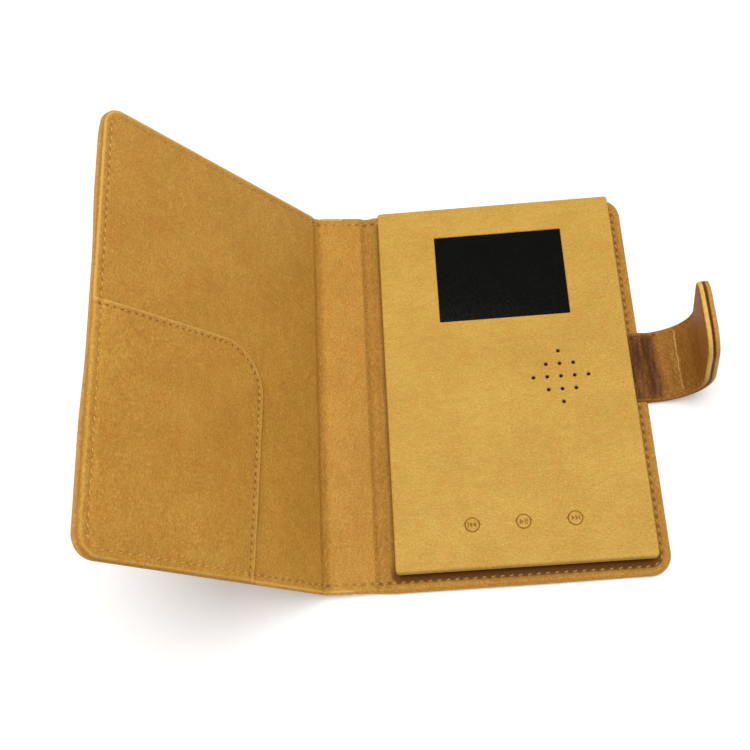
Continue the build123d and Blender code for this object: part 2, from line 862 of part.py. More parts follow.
with BuildPart() as button_board:
    with BuildSketch(Plane.XY.offset(pcb_z)):
        with Locations((button_centre_x, button_y)):
            Rectangle(button_board_width, button_board_length)
        with Locations(*button_board_screws()):
            Circle(screw_shank_diameter / 2, mode=Mode.SUBTRACT)
    extrude(amount=pcb_thickness)
save(button_board, "button_board")

button_ribbon_length = main_board_foot_y + connector_length - button_y
plate(
    "button_ribbon", button_centre_x, button_y + button_ribbon_length / 2, pcb_z - ribbon_thickness,
    button_ribbon_width, button_ribbon_length, ribbon_thickness,
)

switch_top_z = pcb_top_z + switch_height
plunger_foot_z = switch_top_z - plunger_depth

with BuildPart() as switch_bodies:
    with BuildSketch(Plane.XY.offset(pcb_top_z)):
        with Locations(*button_places()):
            Rectangle(switch_size, switch_size)
    extrude(amount=switch_height)
    with BuildSketch(Plane.XY.offset(plunger_foot_z - button_travel - plunger_clearance)):
        with Locations(*button_places()):
            Circle(plunger_diameter / 2 + plunger_clearance)
    extrude(amount=switch_height, mode=Mode.SUBTRACT)
save(switch_bodies, "switch_bodies")

flange_top_z = rim_z - plunger_clearance
flange_z = flange_top_z - button_flange_thickness

for side, (button_x, _) in zip(("previous", "play", "next"), button_places()):
    with BuildPart() as plunger:
        with BuildSketch(Plane.XY.offset(plunger_foot_z)):
            with Locations((button_x, button_y)):
                Circle(plunger_diameter / 2)
        extrude(amount=flange_z - plunger_foot_z)
    save(plunger, f"switch_plunger_{side}")

    with BuildPart() as button:
        with BuildSketch(Plane.XY.offset(flange_z)):
            with Locations((button_x, button_y)):
                Circle(button_flange_diameter / 2)
        extrude(amount=button_flange_thickness)
        with BuildSketch(Plane.XY.offset(flange_top_z)):
            with Locations((button_x, button_y)):
                Circle(button_diameter / 2)
        extrude(amount=face_z - flange_top_z)
        fillet(button.faces().sort_by(Axis.Z)[-1].edges(), button_edge_radius)
    save(button, f"button_{side}")
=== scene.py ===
import json
from math import acos, atan2, cos, degrees, pi, radians, sin, tan

import bpy
import numpy as np
from mathutils import Matrix, Vector, noise
from mathutils.geometry import delaunay_2d_cdt


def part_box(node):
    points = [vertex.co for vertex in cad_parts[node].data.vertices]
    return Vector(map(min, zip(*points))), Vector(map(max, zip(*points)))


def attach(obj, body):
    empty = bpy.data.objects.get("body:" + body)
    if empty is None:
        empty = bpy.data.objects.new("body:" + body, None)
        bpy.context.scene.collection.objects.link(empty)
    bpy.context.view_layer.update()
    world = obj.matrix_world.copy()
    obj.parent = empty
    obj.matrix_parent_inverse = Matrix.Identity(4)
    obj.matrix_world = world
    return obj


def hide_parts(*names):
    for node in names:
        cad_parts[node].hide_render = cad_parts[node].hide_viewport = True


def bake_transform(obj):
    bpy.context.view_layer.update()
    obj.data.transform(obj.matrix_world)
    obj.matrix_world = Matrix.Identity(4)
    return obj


# The notebook lies open on a pale table. Sizes are in millimetres until a mesh is made.
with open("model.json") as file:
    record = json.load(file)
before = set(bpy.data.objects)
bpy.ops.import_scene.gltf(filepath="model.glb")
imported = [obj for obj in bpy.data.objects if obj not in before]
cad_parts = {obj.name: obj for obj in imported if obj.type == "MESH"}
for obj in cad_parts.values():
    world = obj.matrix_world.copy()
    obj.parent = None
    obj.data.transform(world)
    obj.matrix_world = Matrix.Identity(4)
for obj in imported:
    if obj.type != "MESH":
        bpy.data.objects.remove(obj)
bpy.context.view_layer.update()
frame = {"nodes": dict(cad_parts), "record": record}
MM = 0.001

# Sizes of the covers, shared with the solids
COVER_HEIGHT = 176.7
COVER_DEPTH = 118.0
COVER_CORNER = 8.5
LEATHER = 0.7
BOARD_HALF = 0.8
SPINE_WIDTH = 24.0
SPINE_TILT = 8.4
FRONT_ANGLE = 54.6
FOLD_Z = 1.5
BACK_REACH = 3.5
FRONT_REACH = 4.0

# Sizes of the module, shared with the solids. A box is its middle, width, length and corner radius.
MODULE = (0, 0.65, 105.9, 167.4, 1.2)
FACE_Z = 13.0
RIM_Z = 8.5
FACE_LEATHER = 0.8
WINDOW = (1.15, 47.9, 57.6, 42.7, 0.5)
SPEAKER = (22.45, -2.95)
HOLE_PITCH = 5.9
HOLE_RADIUS = 0.8
BUTTON_Y = -65.45
BUTTON_XS = {"previous": -20.65, "play": 0.35, "next": 21.35}
BUTTON_RADIUS = 2.85
GAP_RADIUS = 2.93

# Sizes of the strap, shared with the solids. Its root's angle is in radians.
STRAP_WIDTH = 32.6
STRAP_Y = 2.3
STRAP_EDGE_X = 59.0
STRAP_ROOT_Z = 2.6
STRAP_ROOT_ANGLE = radians(4.5)
STRAP_ROOT_LENGTH = 3.4
STRAP_RADIUS = 18.8
STRAP_ARC = STRAP_RADIUS * radians(94.5)
STRAP_TIP = 33.0
STRAP_THIN = 2.2
STRAP_THICK = 4.6
STRAP_CORNER = 10.5
STRAP_SPLIT = 14.0
MIDDLE_BEND = (25.5, 30.5)


# Small mathematics


def rise(low, high, value):
    """0 below low, 1 above high and a smooth rise between them."""
    t = np.clip((value - low) / (high - low), 0, 1)
    return t * t * (3 - 2 * t)


def bell(value, centre, width):
    """1 at the centre, falling away on both sides over about twice the width."""
    return np.exp(-(((value - centre) / width) ** 2))


def rounding(distance, radius):
    """How far a surface drops at a distance from its rounded edge."""
    return radius - np.sqrt(radius**2 - np.clip(radius - distance, 0, radius) ** 2)


def ripple(x, y, size, seed):
    """Smooth noise from -1 to 1 over a plane, with features of a given size."""
    return np.array([noise.noise(Vector((a / size, b / size, seed))) for a, b in zip(x, y)])


def cross(a, b):
    """The flat cross product, positive where b turns left from a."""
    return a[..., 0] * b[..., 1] - a[..., 1] * b[..., 0]


def corner_depth(along, across, corner):
    """Distance in from a round corner's edges, from a point's two distances past the corner's centre."""
    outside = np.hypot(np.maximum(along, 0), np.maximum(across, 0))
    return corner - outside - np.minimum(np.maximum(along, across), 0)


def box_depth(x, y, box):
    """Distance in from a box with round corners."""
    middle_x, middle_y, width, length, corner = box
    along = np.abs(x - middle_x) - width / 2 + corner
    return corner_depth(along, np.abs(y - middle_y) - length / 2 + corner, corner)


def nearest(points, spots):
    """Distance from each point to the nearest spot."""
    return np.min([np.hypot(*(points - spot).T) for spot in spots], axis=0)


def line_distance(points, line):
    """Distance from each point to a line of short runs."""
    result = np.full(len(points), np.inf)
    for a, b in zip(np.array(line[:-1]), np.array(line[1:])):
        run = b - a
        share = np.clip((points - a) @ run / (run @ run), 0, 1)
        result = np.minimum(result, np.linalg.norm(points - a - share[:, None] * run, axis=1))
    return result


def pitted(u, v, places, width=0.5):
    """1 in the pits between stitches and 0 away from them."""
    return bell(nearest(np.column_stack([u, v]), [at for at, _ in places]), 0, width)


# Lines


def spaced(low, high, step):
    """Even places from low to high, both included."""
    count = max(int(round(abs(high - low) / step)), 1)
    return [low + (high - low) * i / count for i in range(count + 1)]


def arc(centre, radius, start, end, count):
    """Points along an arc, from one angle to another in degrees."""
    angles = [radians(start + (end - start) * i / count) for i in range(count + 1)]
    return [(centre[0] + radius * cos(a), centre[1] + radius * sin(a)) for a in angles]


def straight(a, b, step):
    """Even points from a to b."""
    length = np.linalg.norm(b - a)
    return [tuple(a + (b - a) * t / length) for t in spaced(0, length, step)]


def circle_line(centre, radius, count):
    """A round outline."""
    return arc(centre, radius, 0, 360 * (count - 1) / count, count - 1)


def box_line(box, step, margin=0.0):
    """A box's outline, or one that runs outside it at a margin, from short runs."""
    middle_x, middle_y, width, length, corner = box
    corner = max(corner + margin, 0.3)
    x, y = (width + 2 * margin) / 2 - corner, (length + 2 * margin) / 2 - corner
    turns = max(int(corner * pi / 2 / step), 3)
    line = []
    for angle, side_x, side_y in ((-90, 1, -1), (0, 1, 1), (90, -1, 1), (180, -1, -1)):
        line += arc((side_x * x, side_y * y), corner, angle, angle + 90, turns)
    full = []
    for a, b in zip(line, line[1:] + line[:1]):
        full += straight(np.array(a), np.array(b), step)[:-1]
    return [(middle_x + a, middle_y + b) for a, b in full]


def path_places(path, pitch, start=0.5):
    """Even places along a path, each with the path's direction there."""
    path = np.array(path)
    steps = np.diff(path, axis=0)
    lengths = np.linalg.norm(steps, axis=1)
    along = np.concatenate([[0], np.cumsum(lengths)])
    count = int(along[-1] / pitch)
    places = []
    for at in (np.arange(count) + start) * along[-1] / count:
        k = min(int(np.searchsorted(along, at, side="right")) - 1, len(steps) - 1)
        places.append((path[k] + steps[k] * (at - along[k]) / lengths[k], steps[k] / lengths[k]))
    return places


# Meshes

SLIVER = 1e-9
WALL_SHARP = radians(50)

# A row's thread is its stitch length, radius, slant in degrees, the dip of its ends, and its seed
EDGE_THREAD = (2.1, 0.25, 15, 0.34, 7.0)
HEM_THREAD = (2.0, 0.17, 14, 0.28, 11.0)
STRAP_THREAD = (2.1, 0.21, 0, 0.3, 14.0)


def inside(points, loop):
    """Which points lie inside a closed loop."""
    x, y = points.T
    result = np.zeros(len(points), bool)
    for (x0, y0), (x1, y1) in zip(loop, loop[1:] + loop[:1]):
        if y0 != y1:
            crosses = (y0 > y) != (y1 > y)
            result ^= crosses & (x < (x1 - x0) * (y - y0) / (y1 - y0) + x0)
    return result


def triangulate(outline, lines=(), holes=(), points=()):
    """Triangles of a flat shape with holes, through given lines and points."""
    coords, edges = [], []
    for number, line in enumerate([outline, *holes, *lines]):
        first = len(coords)
        coords += line
        edges += [(i, i + 1) for i in range(first, len(coords) - 1)]
        if number <= len(holes):
            edges.append((len(coords) - 1, first))
    coords += [tuple(p) for p in points]
    made = delaunay_2d_cdt([Vector(c) for c in coords], edges, [], 0, 1e-5)
    flat = np.array([tuple(v) for v in made[0]])
    triangles = np.array([tuple(f) for f in made[2]])
    middles = flat[triangles].mean(axis=1)
    keep = inside(middles, outline)
    for hole in holes:
        keep &= ~inside(middles, hole)
    triangles = triangles[keep]
    a, b, c = (flat[triangles[:, i]] for i in range(3))
    turn = cross(b - a, c - a)
    triangles[turn < 0] = triangles[turn < 0][:, ::-1]
    used, renumbered = np.unique(triangles[np.abs(turn) > SLIVER], return_inverse=True)
    return flat[used], renumbered.reshape(-1, 3)


def border_edges(triangles):
    """Directed edges that only one triangle has."""
    edges = dict.fromkeys((t[i], t[(i + 1) % 3]) for t in triangles.tolist() for i in range(3))
    return [(a, b) for a, b in edges if (b, a) not in edges]


def add_mesh(name, points, faces, flat, smooth=True, sharp=None):
    """A mesh object from points in millimetres, with its unrolled place kept for the leather's pattern."""
    mesh = bpy.data.meshes.new(name)
    mesh.from_pydata([tuple(p) for p in np.asarray(points) * MM], [], [tuple(map(int, f)) for f in faces])
    mesh.validate()
    attribute = mesh.attributes.new("flat", "FLOAT_VECTOR", "POINT")
    attribute.data.foreach_set("vector", (np.asarray(flat) * MM).astype(np.float32).ravel())
    mesh.polygons.foreach_set("use_smooth", [smooth] * len(mesh.polygons))
    if sharp:
        mesh.set_sharp_from_angle(angle=sharp)
    piece = bpy.data.objects.new(name, mesh)
    bpy.context.scene.collection.objects.link(piece)
    return piece


def slab(name, plan, top, bottom, place, wall_rows, wall_bulge, seed=0.0):
    """A closed sheet over a plan, between two heights, put in place by a function of its flat place."""
    flat, triangles = plan
    count = len(flat)
    upper, lower = np.column_stack([flat, top]), np.column_stack([flat, bottom])
    points = [upper, lower]
    faces = [tuple(t) for t in triangles] + [tuple(t[::-1] + count) for t in triangles]
    border = border_edges(triangles)
    after, before = dict(border), {b: a for a, b in border}
    ring = sorted(after)
    run = flat[[after[i] for i in ring]] - flat[[before[i] for i in ring]]
    outward = np.column_stack([run[:, 1], -run[:, 0]])
    outward /= np.maximum(np.linalg.norm(outward, axis=1), SLIVER)[:, None]
    outward *= np.broadcast_to(wall_bulge, count)[ring][:, None]
    rows = [{i: i for i in ring}]
    for row in range(1, wall_rows):
        share = row / wall_rows
        between = upper[ring] * (1 - share) + lower[ring] * share
        between[:, :2] += outward * sin(pi * share)
        points.append(between)
        first = 2 * count + (row - 1) * len(ring)
        rows.append({i: first + k for k, i in enumerate(ring)})
    rows.append({i: i + count for i in ring})
    for above, below in zip(rows, rows[1:]):
        faces += [(above[b], above[a], below[a], below[b]) for a, b in border]
    local = np.vstack(points)
    return add_mesh(name, place(*local.T), faces, local + (0, 0, seed), sharp=WALL_SHARP)


def level(x, y, z):
    """Places a flat point as it is."""
    return np.column_stack([x, y, z])


def stitch_row(name, places, height, place, thread, below=False, sides=7, rings=6):
    """A row of sewn stitches, each a short bowed tube that dips into the leather at its ends."""
    length, radius, slant, dip, seed = thread
    t = np.linspace(-1, 1, rings + 1)[:, None]
    thick = radius * np.maximum(1 - np.abs(t) ** 3.5, 0.12) ** 0.5
    angle = 2 * np.pi * np.arange(sides) / sides
    pairs = [(i * sides + j, i * sides + (j + 1) % sides) for i in range(rings) for j in range(sides)]
    tube = [(a + sides, b + sides, b, a) for a, b in pairs]
    tube += [tuple(range(sides)), tuple(range(rings * sides, (rings + 1) * sides))[::-1]]
    local, faces = [], []
    for number, (at, along) in enumerate(places):
        turn = radians(slant + 5 * noise.noise(Vector((number * 1.7, seed, 0))))
        size = 1 + 0.12 * noise.noise(Vector((number * 2.3, seed, 4)))
        x, y = cos(turn), sin(turn)
        along = np.array([along[0] * x - along[1] * y, along[0] * y + along[1] * x])
        across = np.array([-along[1], along[0]])
        base = height(at[:1], at[1:])[0]
        flat = at + along * t[..., None] * length / 2 * size + across * (thick * np.cos(angle))[..., None]
        w = base - dip * t * t + radius * 0.35 + thick * np.sin(angle)
        faces += [[corner + number * w.size for corner in face] for face in tube]
        local.append(np.dstack([flat, w]).reshape(-1, 3))
    local = np.vstack(local)
    u, v, w = local.T
    row = add_mesh(name, place(u, v, -w if below else w), faces, local + (0, 0, seed * 40))
    if below:
        row.data.flip_normals()
    return row


def set_shading_and_tone(piece, values):
    """Keeps each point's painted shading, from -1, painted shade, to 1, painted highlight; on the buttons'
    signs it is their own darker tone.
    """
    attribute = piece.data.attributes.new("shading_and_tone", "FLOAT", "POINT")
    values = np.broadcast_to(np.clip(values, -1, 1), len(piece.data.vertices))
    attribute.data.foreach_set("value", values.astype(np.float32))


def set_slab_shading(piece, top_shading, edge_shading=0.1, under_shading=None):
    """Sets a slab's painted shading: its plan's points above and below, then the points round its edge."""
    count = len(top_shading)
    below = top_shading if under_shading is None else np.broadcast_to(under_shading, count)
    edge = np.broadcast_to(edge_shading, len(piece.data.vertices) - 2 * count)
    set_shading_and_tone(piece, np.concatenate([top_shading, below, edge]))


def bend(piece, place, low, high, v=0):
    """Works out two places along the leather, which nothing uses, and bakes the piece's transform into its
    points.
    """
    start, end = (tuple(place([at], [v], [0])[0] * MM) for at in (low, high))
    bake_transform(piece)


def flat_places(piece):
    """The flat place of each of a piece's points, in millimetres."""
    flat = np.empty(3 * len(piece.data.vertices), np.float32)
    piece.data.attributes["flat"].data.foreach_get("vector", flat)
    return flat.reshape(-1, 3) / MM


# Materials

LEATHER_SPECULAR = 0.18
TONE_SPREAD = 0.13
ORANGE_TINT = (1.03, 0.9, 0.8, 1)
OLIVE_TINT = (0.95, 1.03, 0.78, 1)

# A leather or thread is its grain's stretch and depth, its dark, middle and light tones, and the tones of its
# painted shade and painted highlight
LEATHERS = {
    "lining_leather": (
        (1.8, 1, 1), 0.08, (170, 117, 42), (191, 139, 55), (212, 162, 74), (118, 70, 18), (232, 186, 100),
    ),
    "outer_leather": (
        (1.6, 1, 1), 0.11, (156, 104, 38), (178, 124, 48), (200, 147, 64), (104, 62, 20), (222, 176, 104),
    ),
    "face_leather": (
        (1, 2.2, 1), 0.07, (184, 137, 56), (202, 157, 68), (220, 178, 88), (140, 90, 32), (232, 192, 112),
    ),
    "strap_leather": (
        (2.2, 1, 1), 0.1, (140, 86, 28), (166, 112, 44), (192, 138, 60), (82, 42, 12), (244, 202, 112),
    ),
    "light_thread": (
        (4, 4, 1), 0.05, (196, 148, 72), (212, 166, 90), (228, 188, 116), (140, 94, 36), (240, 210, 150),
    ),
    "strap_thread": (
        (4, 4, 1), 0.05, (184, 106, 44), (204, 130, 58), (224, 158, 80), (78, 42, 18), (240, 196, 120),
    ),
    "dark_thread": (
        (4, 4, 1), 0.05, (120, 66, 26), (146, 86, 34), (176, 116, 52), (84, 46, 18), (214, 164, 92),
    ),
}


def tone(red, green, blue):
    """A colour given as the screen shows it, as Blender's linear numbers."""
    shares = [c / 255 for c in (red, green, blue)]
    linear = [s / 12.92 if s <= 0.04045 else ((s + 0.055) / 1.055) ** 2.4 for s in shares]
    return (*linear, 1)


class Paint:
    """A material's nodes. Patterns follow the leather's flat place, or the object's own place."""

    def __init__(self, name, flat=False):
        self.material = bpy.data.materials.new(name)
        self.material.use_nodes = True
        self.tree = self.material.node_tree
        self.shader = self.tree.nodes["Principled BSDF"]
        if flat:
            self.place = self.add("ShaderNodeAttribute", attribute_name="flat").outputs["Vector"]
        else:
            self.place = self.add("ShaderNodeTexCoord").outputs["Object"]

    def feed(self, socket, value):
        """Links a pattern to a socket, or sets a number or colour on it."""
        if isinstance(value, bpy.types.NodeSocket):
            self.tree.links.new(value, socket)
        else:
            socket.default_value = value

    def add(self, kind, inputs=None, **settings):
        """A node with its settings and its inputs."""
        made = self.tree.nodes.new(kind)
        for key, value in settings.items():
            setattr(made, key, value)
        for key, value in (inputs or {}).items():
            self.feed(made.inputs[key], value)
        return made

    def set(self, name, value):
        """Puts a pattern, number or colour on the shader."""
        self.feed(self.shader.inputs[name], value)

    def scaled(self, x, y, z):
        """The place, stretched, so that a pattern runs in streaks."""
        return self.add("ShaderNodeMapping", {"Vector": self.place, "Scale": (x, y, z)}).outputs["Vector"]

    def noise(self, size, detail, roughness, place=None, distortion=0.0):
        """Noise with features of a size in millimetres."""
        inputs = {"Vector": place or self.place, "Scale": 1000 / size, "Detail": detail}
        inputs.update({"Roughness": roughness, "Distortion": distortion})
        return self.add("ShaderNodeTexNoise", inputs).outputs["Fac"]

    def cells(self, size, place):
        """Pebbles of a size in millimetres."""
        inputs = {"Vector": place, "Scale": 1000 / size}
        return self.add("ShaderNodeTexVoronoi", inputs, feature="SMOOTH_F1").outputs["Distance"]

    def math(self, kind, first, second):
        """A number made from two patterns or numbers."""
        return self.add("ShaderNodeMath", {0: first, 1: second}, operation=kind).outputs["Value"]

    def blend(self, parts):
        """Weighted sum of patterns."""
        total = None
        for pattern, weight in parts:
            part = self.math("MULTIPLY", pattern, weight)
            total = part if total is None else self.math("ADD", total, part)
        return total

    def spread(self, value, low, high, to_low, to_high):
        """A pattern's range from low to high, moved to another range."""
        inputs = {"Value": value, "From Min": low, "From Max": high, "To Min": to_low, "To Max": to_high}
        return self.add("ShaderNodeMapRange", inputs).outputs["Result"]

    def ramp(self, value, stops):
        """A pattern turned into colours, each at its position."""
        made = self.add("ShaderNodeValToRGB", {"Fac": value})
        elements = made.color_ramp.elements
        while len(elements) < len(stops):
            elements.new(0.5)
        for element, (position, colour) in zip(elements, stops):
            element.position = position
            element.color = colour
        return made.outputs["Color"]

    def mix(self, factor, first, second, kind="MIX"):
        """Two colours mixed. Inputs 6 and 7 are the node's colours."""
        inputs = {"Factor": factor, 6: first, 7: second}
        return self.add("ShaderNodeMix", inputs, data_type="RGBA", blend_type=kind).outputs[2]

    def bump(self, height, distance, strength=1.0):
        """Relief from a pattern, with its depth in millimetres."""
        inputs = {"Height": height, "Strength": strength, "Distance": distance * MM}
        self.set("Normal", self.add("ShaderNodeBump", inputs).outputs["Normal"])


def leather_colour(paint, streak, dark, middle, light):
    """Tanned leather's colour: faint blotches, fine streaks and specks, drifting from orange to olive."""
    streaky = paint.scaled(*streak)
    blotch = paint.noise(26, 3, 0.6)
    patch = paint.noise(5.5, 3, 0.65, streaky, 0.4)
    fine = paint.noise(1.4, 4, 0.7, streaky)
    speck = paint.noise(0.7, 2, 0.5)
    pattern = paint.blend([(blotch, 0.16), (patch, 0.16), (fine, 0.38), (speck, 0.3)])
    stops = zip((0.5 - TONE_SPREAD, 0.5, 0.5 + TONE_SPREAD), (tone(*dark), tone(*middle), tone(*light)))
    colour = paint.ramp(pattern, list(stops))
    drift = paint.noise(7, 2, 0.55, distortion=0.6)
    colour = paint.mix(paint.spread(drift, 0.5, 0.75, 0, 0.6), colour, ORANGE_TINT, "MULTIPLY")
    colour = paint.mix(paint.spread(drift, 0.5, 0.25, 0, 0.5), colour, OLIVE_TINT, "MULTIPLY")
    return colour, fine, speck, streaky


def make_leather(name, streak, grain, dark, middle, light, shade_tone, highlight_tone):
    """Leather that takes painted shade and painted highlight from its points' shading, with pebbles and
    pores.
    """
    paint = Paint(name, flat=True)
    colour, fine, speck, streaky = leather_colour(paint, streak, dark, middle, light)
    pores = paint.cells(0.6, streaky)
    shading_and_tone = paint.add("ShaderNodeAttribute", attribute_name="shading_and_tone").outputs["Fac"]
    uneven = paint.math("ADD", shading_and_tone, paint.spread(fine, 0.3, 0.7, -0.12, 0.12))
    colour = paint.mix(paint.spread(uneven, -0.12, -1, 0, 1), colour, tone(*shade_tone))
    colour = paint.mix(paint.spread(uneven, 0.12, 1, 0, 1), colour, tone(*highlight_tone))
    paint.set("Base Color", colour)
    paint.set("Roughness", paint.spread(pores, 0.0, 0.8, 0.68, 0.54))
    paint.set("Specular IOR Level", LEATHER_SPECULAR)
    paint.bump(paint.blend([(pores, -0.6), (fine, 0.8), (speck, 0.5)]), grain, 0.8)
    return paint.material


leathers = {name: make_leather(name, *look) for name, look in LEATHERS.items()}


def dress(piece, look):
    """Gives a piece its leather or thread."""
    piece.data.materials.append(leathers[look])


# Folds and plans


class Fold:
    """A fold between two panels. u runs along the leather, to the right, from the fold's axis."""

    def __init__(self, x, z, right_tilt, left_tilt, reach):
        self.right = radians(right_tilt)
        self.left = radians(left_tilt)
        self.reach = reach
        half = (self.left - self.right) / 2
        middle = (self.left + self.right) / 2
        self.radius = reach / tan(half)
        away = self.radius / cos(half)
        self.centre = (x + sin(middle) * away, z + cos(middle) * away)

    def place(self, u, v, w):
        """Where a point of the unrolled leather is: u to the right, v along Y, w out of the inner face."""
        u, v, w = (np.asarray(a, float) for a in (u, v, w))
        bent = np.clip(u, -self.reach, self.reach)
        tilt = self.right + (self.left - self.right) * (self.reach - bent) / (2 * self.reach)
        x = self.centre[0] - (self.radius - w) * np.sin(tilt) + (u - bent) * np.cos(tilt)
        z = self.centre[1] - (self.radius - w) * np.cos(tilt) - (u - bent) * np.sin(tilt)
        return np.column_stack([x, v, z])


class Half:
    """The plan of one half of a skin, from a straight split to a free end with round corners."""

    def __init__(self, split, free, half, corner, centre=0.0):
        self.split = split
        self.free = free
        self.half = half
        self.corner = corner
        self.centre = centre
        self.side = 1 if free > split else -1

    def depth(self, u, v):
        """Distance in from the free edges."""
        along = self.side * (u - self.free) + self.corner
        across = np.abs(v - self.centre) - self.half + self.corner
        return corner_depth(along, across, self.corner)

    def ring(self, inset, step):
        """A line at a distance in from the free edges, from the split round and back to it."""
        corner = max(self.corner - inset, 0.05)
        end = self.free - self.side * (inset + corner)
        reach = self.half - inset
        turns = max(int(corner * pi / 2 / step), 3)
        run = [(u, -reach) for u in spaced(self.split, end, step)][:-1]
        run += [(end + self.side * x, y - reach + corner) for x, y in arc((0, 0), corner, -90, 0, turns)]
        edge = [(end + self.side * corner, y) for y in spaced(corner - reach, reach - corner, step)][1:-1]
        line = run + edge + [(u, -v) for u, v in run[::-1]]
        return [(u, v + self.centre) for u, v in line]

    def plan(self, insets, step, columns, rows):
        """Triangles of the half, with lines at the insets and a grid inside them."""
        rings = [self.ring(inset, step) for inset in insets]
        margin = insets[-1] + step * 0.6
        grid = np.array([(u, v + self.centre) for u in columns for v in rows])
        grid = grid[self.depth(*grid.T) > margin]
        grid = grid[self.side * (grid[:, 0] - self.split) > 0.3]
        split = [(self.split, v + self.centre) for v in rows if abs(v) < self.half - margin]
        split += [ring[end] for end in (0, -1) for ring in rings[1:]]
        outline = rings[0] + sorted(split, key=lambda p: -p[1])
        return triangulate(outline, rings[1:], points=grid)


# Covers

INSETS = [0, 0.08, 0.22, 0.45, 0.7, 0.8, 1.1, 1.6, 2.2, 2.7, 3.2, 3.7, 4.4, 5.4]
STITCH_INSET = 3.2
STITCH_PITCH = 3.7
THREAD_SINK = 0.18
RING_STEP = STITCH_PITCH / 5
LINING_EDGE = 0.62
OUTER_EDGE = 0.7
LINING_BULGE = 0.35
OUTER_BULGE = 0.45
SEAM_DEPTH = 0.16
PIT_DEPTH = 0.2
LINING_PIT_DEPTH = 0.22
FREE_EDGE_PADDING = 1.1
FREE_EDGE_BULGE = 1.2
GROOVE_SHADE = 0.34
MODULE_SHADE = 0.95
FRONT_FOLD_X = -COVER_DEPTH / 2 - SPINE_WIDTH * cos(radians(SPINE_TILT))
FRONT_FOLD_Z = FOLD_Z + SPINE_WIDTH * sin(radians(SPINE_TILT))
ROWS = spaced(-COVER_HEIGHT / 2, COVER_HEIGHT / 2, 2.6)

# The right side is the back cover and the left side the front cover, each with half the spine
folds = {
    "right": Fold(-COVER_DEPTH / 2, FOLD_Z, 0.0, SPINE_TILT, BACK_REACH),
    "left": Fold(FRONT_FOLD_X, FRONT_FOLD_Z, SPINE_TILT, FRONT_ANGLE, FRONT_REACH),
}
halves = {
    "right": Half(-SPINE_WIDTH / 2, COVER_DEPTH, COVER_HEIGHT / 2, COVER_CORNER),
    "left": Half(SPINE_WIDTH / 2, -COVER_DEPTH, COVER_HEIGHT / 2, COVER_CORNER),
}
columns = {
    "right": spaced(-9, -4.5, 1.5) + spaced(-4, 4, 0.5) + spaced(5, COVER_DEPTH, 2.8),
    "left": spaced(-COVER_DEPTH, -5.5, 2.8) + spaced(-4.5, 4.5, 0.5) + spaced(5, 10, 1.6),
}
# Per side: the painted highlight on the lining's edge, the painted shade in the stitch pits, and where a
# painted shade line runs along the fold
edge_highlight = {"right": 0.15, "left": 0.7}
pit_shade = {"right": 0.6, "left": 0.38}
crease_u = {"right": -4.6, "left": -5.2}


def panel_share(side, u):
    """1 on the boards and 0 in the pressed groove between them."""
    reach = folds[side].reach
    return rise(reach * 0.25, reach, np.abs(u))


def groove_share(side, u):
    """1 where a groove gets painted shade, which on the right reaches past where it is pressed to take in the
    module's painted shadow.
    """
    groove = 1 - panel_share(side, u)
    if side == "right":
        groove = np.maximum(groove, rise(-4.2, -2.8, u) * rise(9, 6, u))
    return groove


def head_fade(side, u, v):
    """1 along the front cover's head edge, where the stitches lie deep and hardly show."""
    return (side == "left") * rise(78, 84, v) * rise(-2, -16, u)


def strap_rest(u, v):
    """1 where the closed strap lies on the front cover and keeps its leather flat, 0 away from it."""
    across = rise(STRAP_WIDTH / 2 + 32, STRAP_WIDTH / 2 + 1, np.abs(v - STRAP_Y))
    return across * rise(COVER_DEPTH - 56, COVER_DEPTH - 42, -u)


def seam_relief(depth):
    """The leather's swell at its edge and the groove that the stitches pull in."""
    return 0.1 * bell(depth, 1.7, 0.8) - SEAM_DEPTH * bell(depth, STITCH_INSET, 0.6)


def lining_top(side, u, v):
    """Height of the lining's surface over the cover's mid-plane."""
    depth = halves[side].depth(u, v)
    height = LEATHER + BOARD_HALF * panel_share(side, u) - rounding(depth, LINING_EDGE) + seam_relief(depth)
    return height + 0.05 * ripple(u, v, 11, 2.0) + 0.03 * ripple(u, v, 3.5, 5.0)


def outer_drop(side, u, v):
    """Drop of the outer leather's surface below the cover's mid-plane, with the front cover's padding."""
    depth = halves[side].depth(u, v)
    padding = FREE_EDGE_PADDING * rise(4, 16, -u) * (side == "left") * (1 - 0.7 * strap_rest(u, v))
    drop = LEATHER + BOARD_HALF * panel_share(side, u) + padding * rise(-1.5, 4, depth)
    drop -= rounding(depth, OUTER_EDGE) + SEAM_DEPTH * bell(depth, STITCH_INSET, 0.6)
    return drop - 0.05 * ripple(u, v, 12, 8.0) * padding


def outer_bulge(side, u, v):
    """How far the outer leather's rounded edge stands out, more along the free edge and the near foot."""
    if side == "left":
        below_head = rise(COVER_HEIGHT / 2 - 1, COVER_HEIGHT / 2 - 16, v)
        free_edge = rise(COVER_DEPTH - 9, COVER_DEPTH, -u)
        return OUTER_BULGE + (FREE_EDGE_BULGE - strap_rest(u, v)) * below_head * free_edge
    near_foot = (v < 0) * rise(-6, 6, u) * rise(110, 60, u)
    return OUTER_BULGE + 0.3 * rise(60, COVER_DEPTH, u) + 0.6 * near_foot


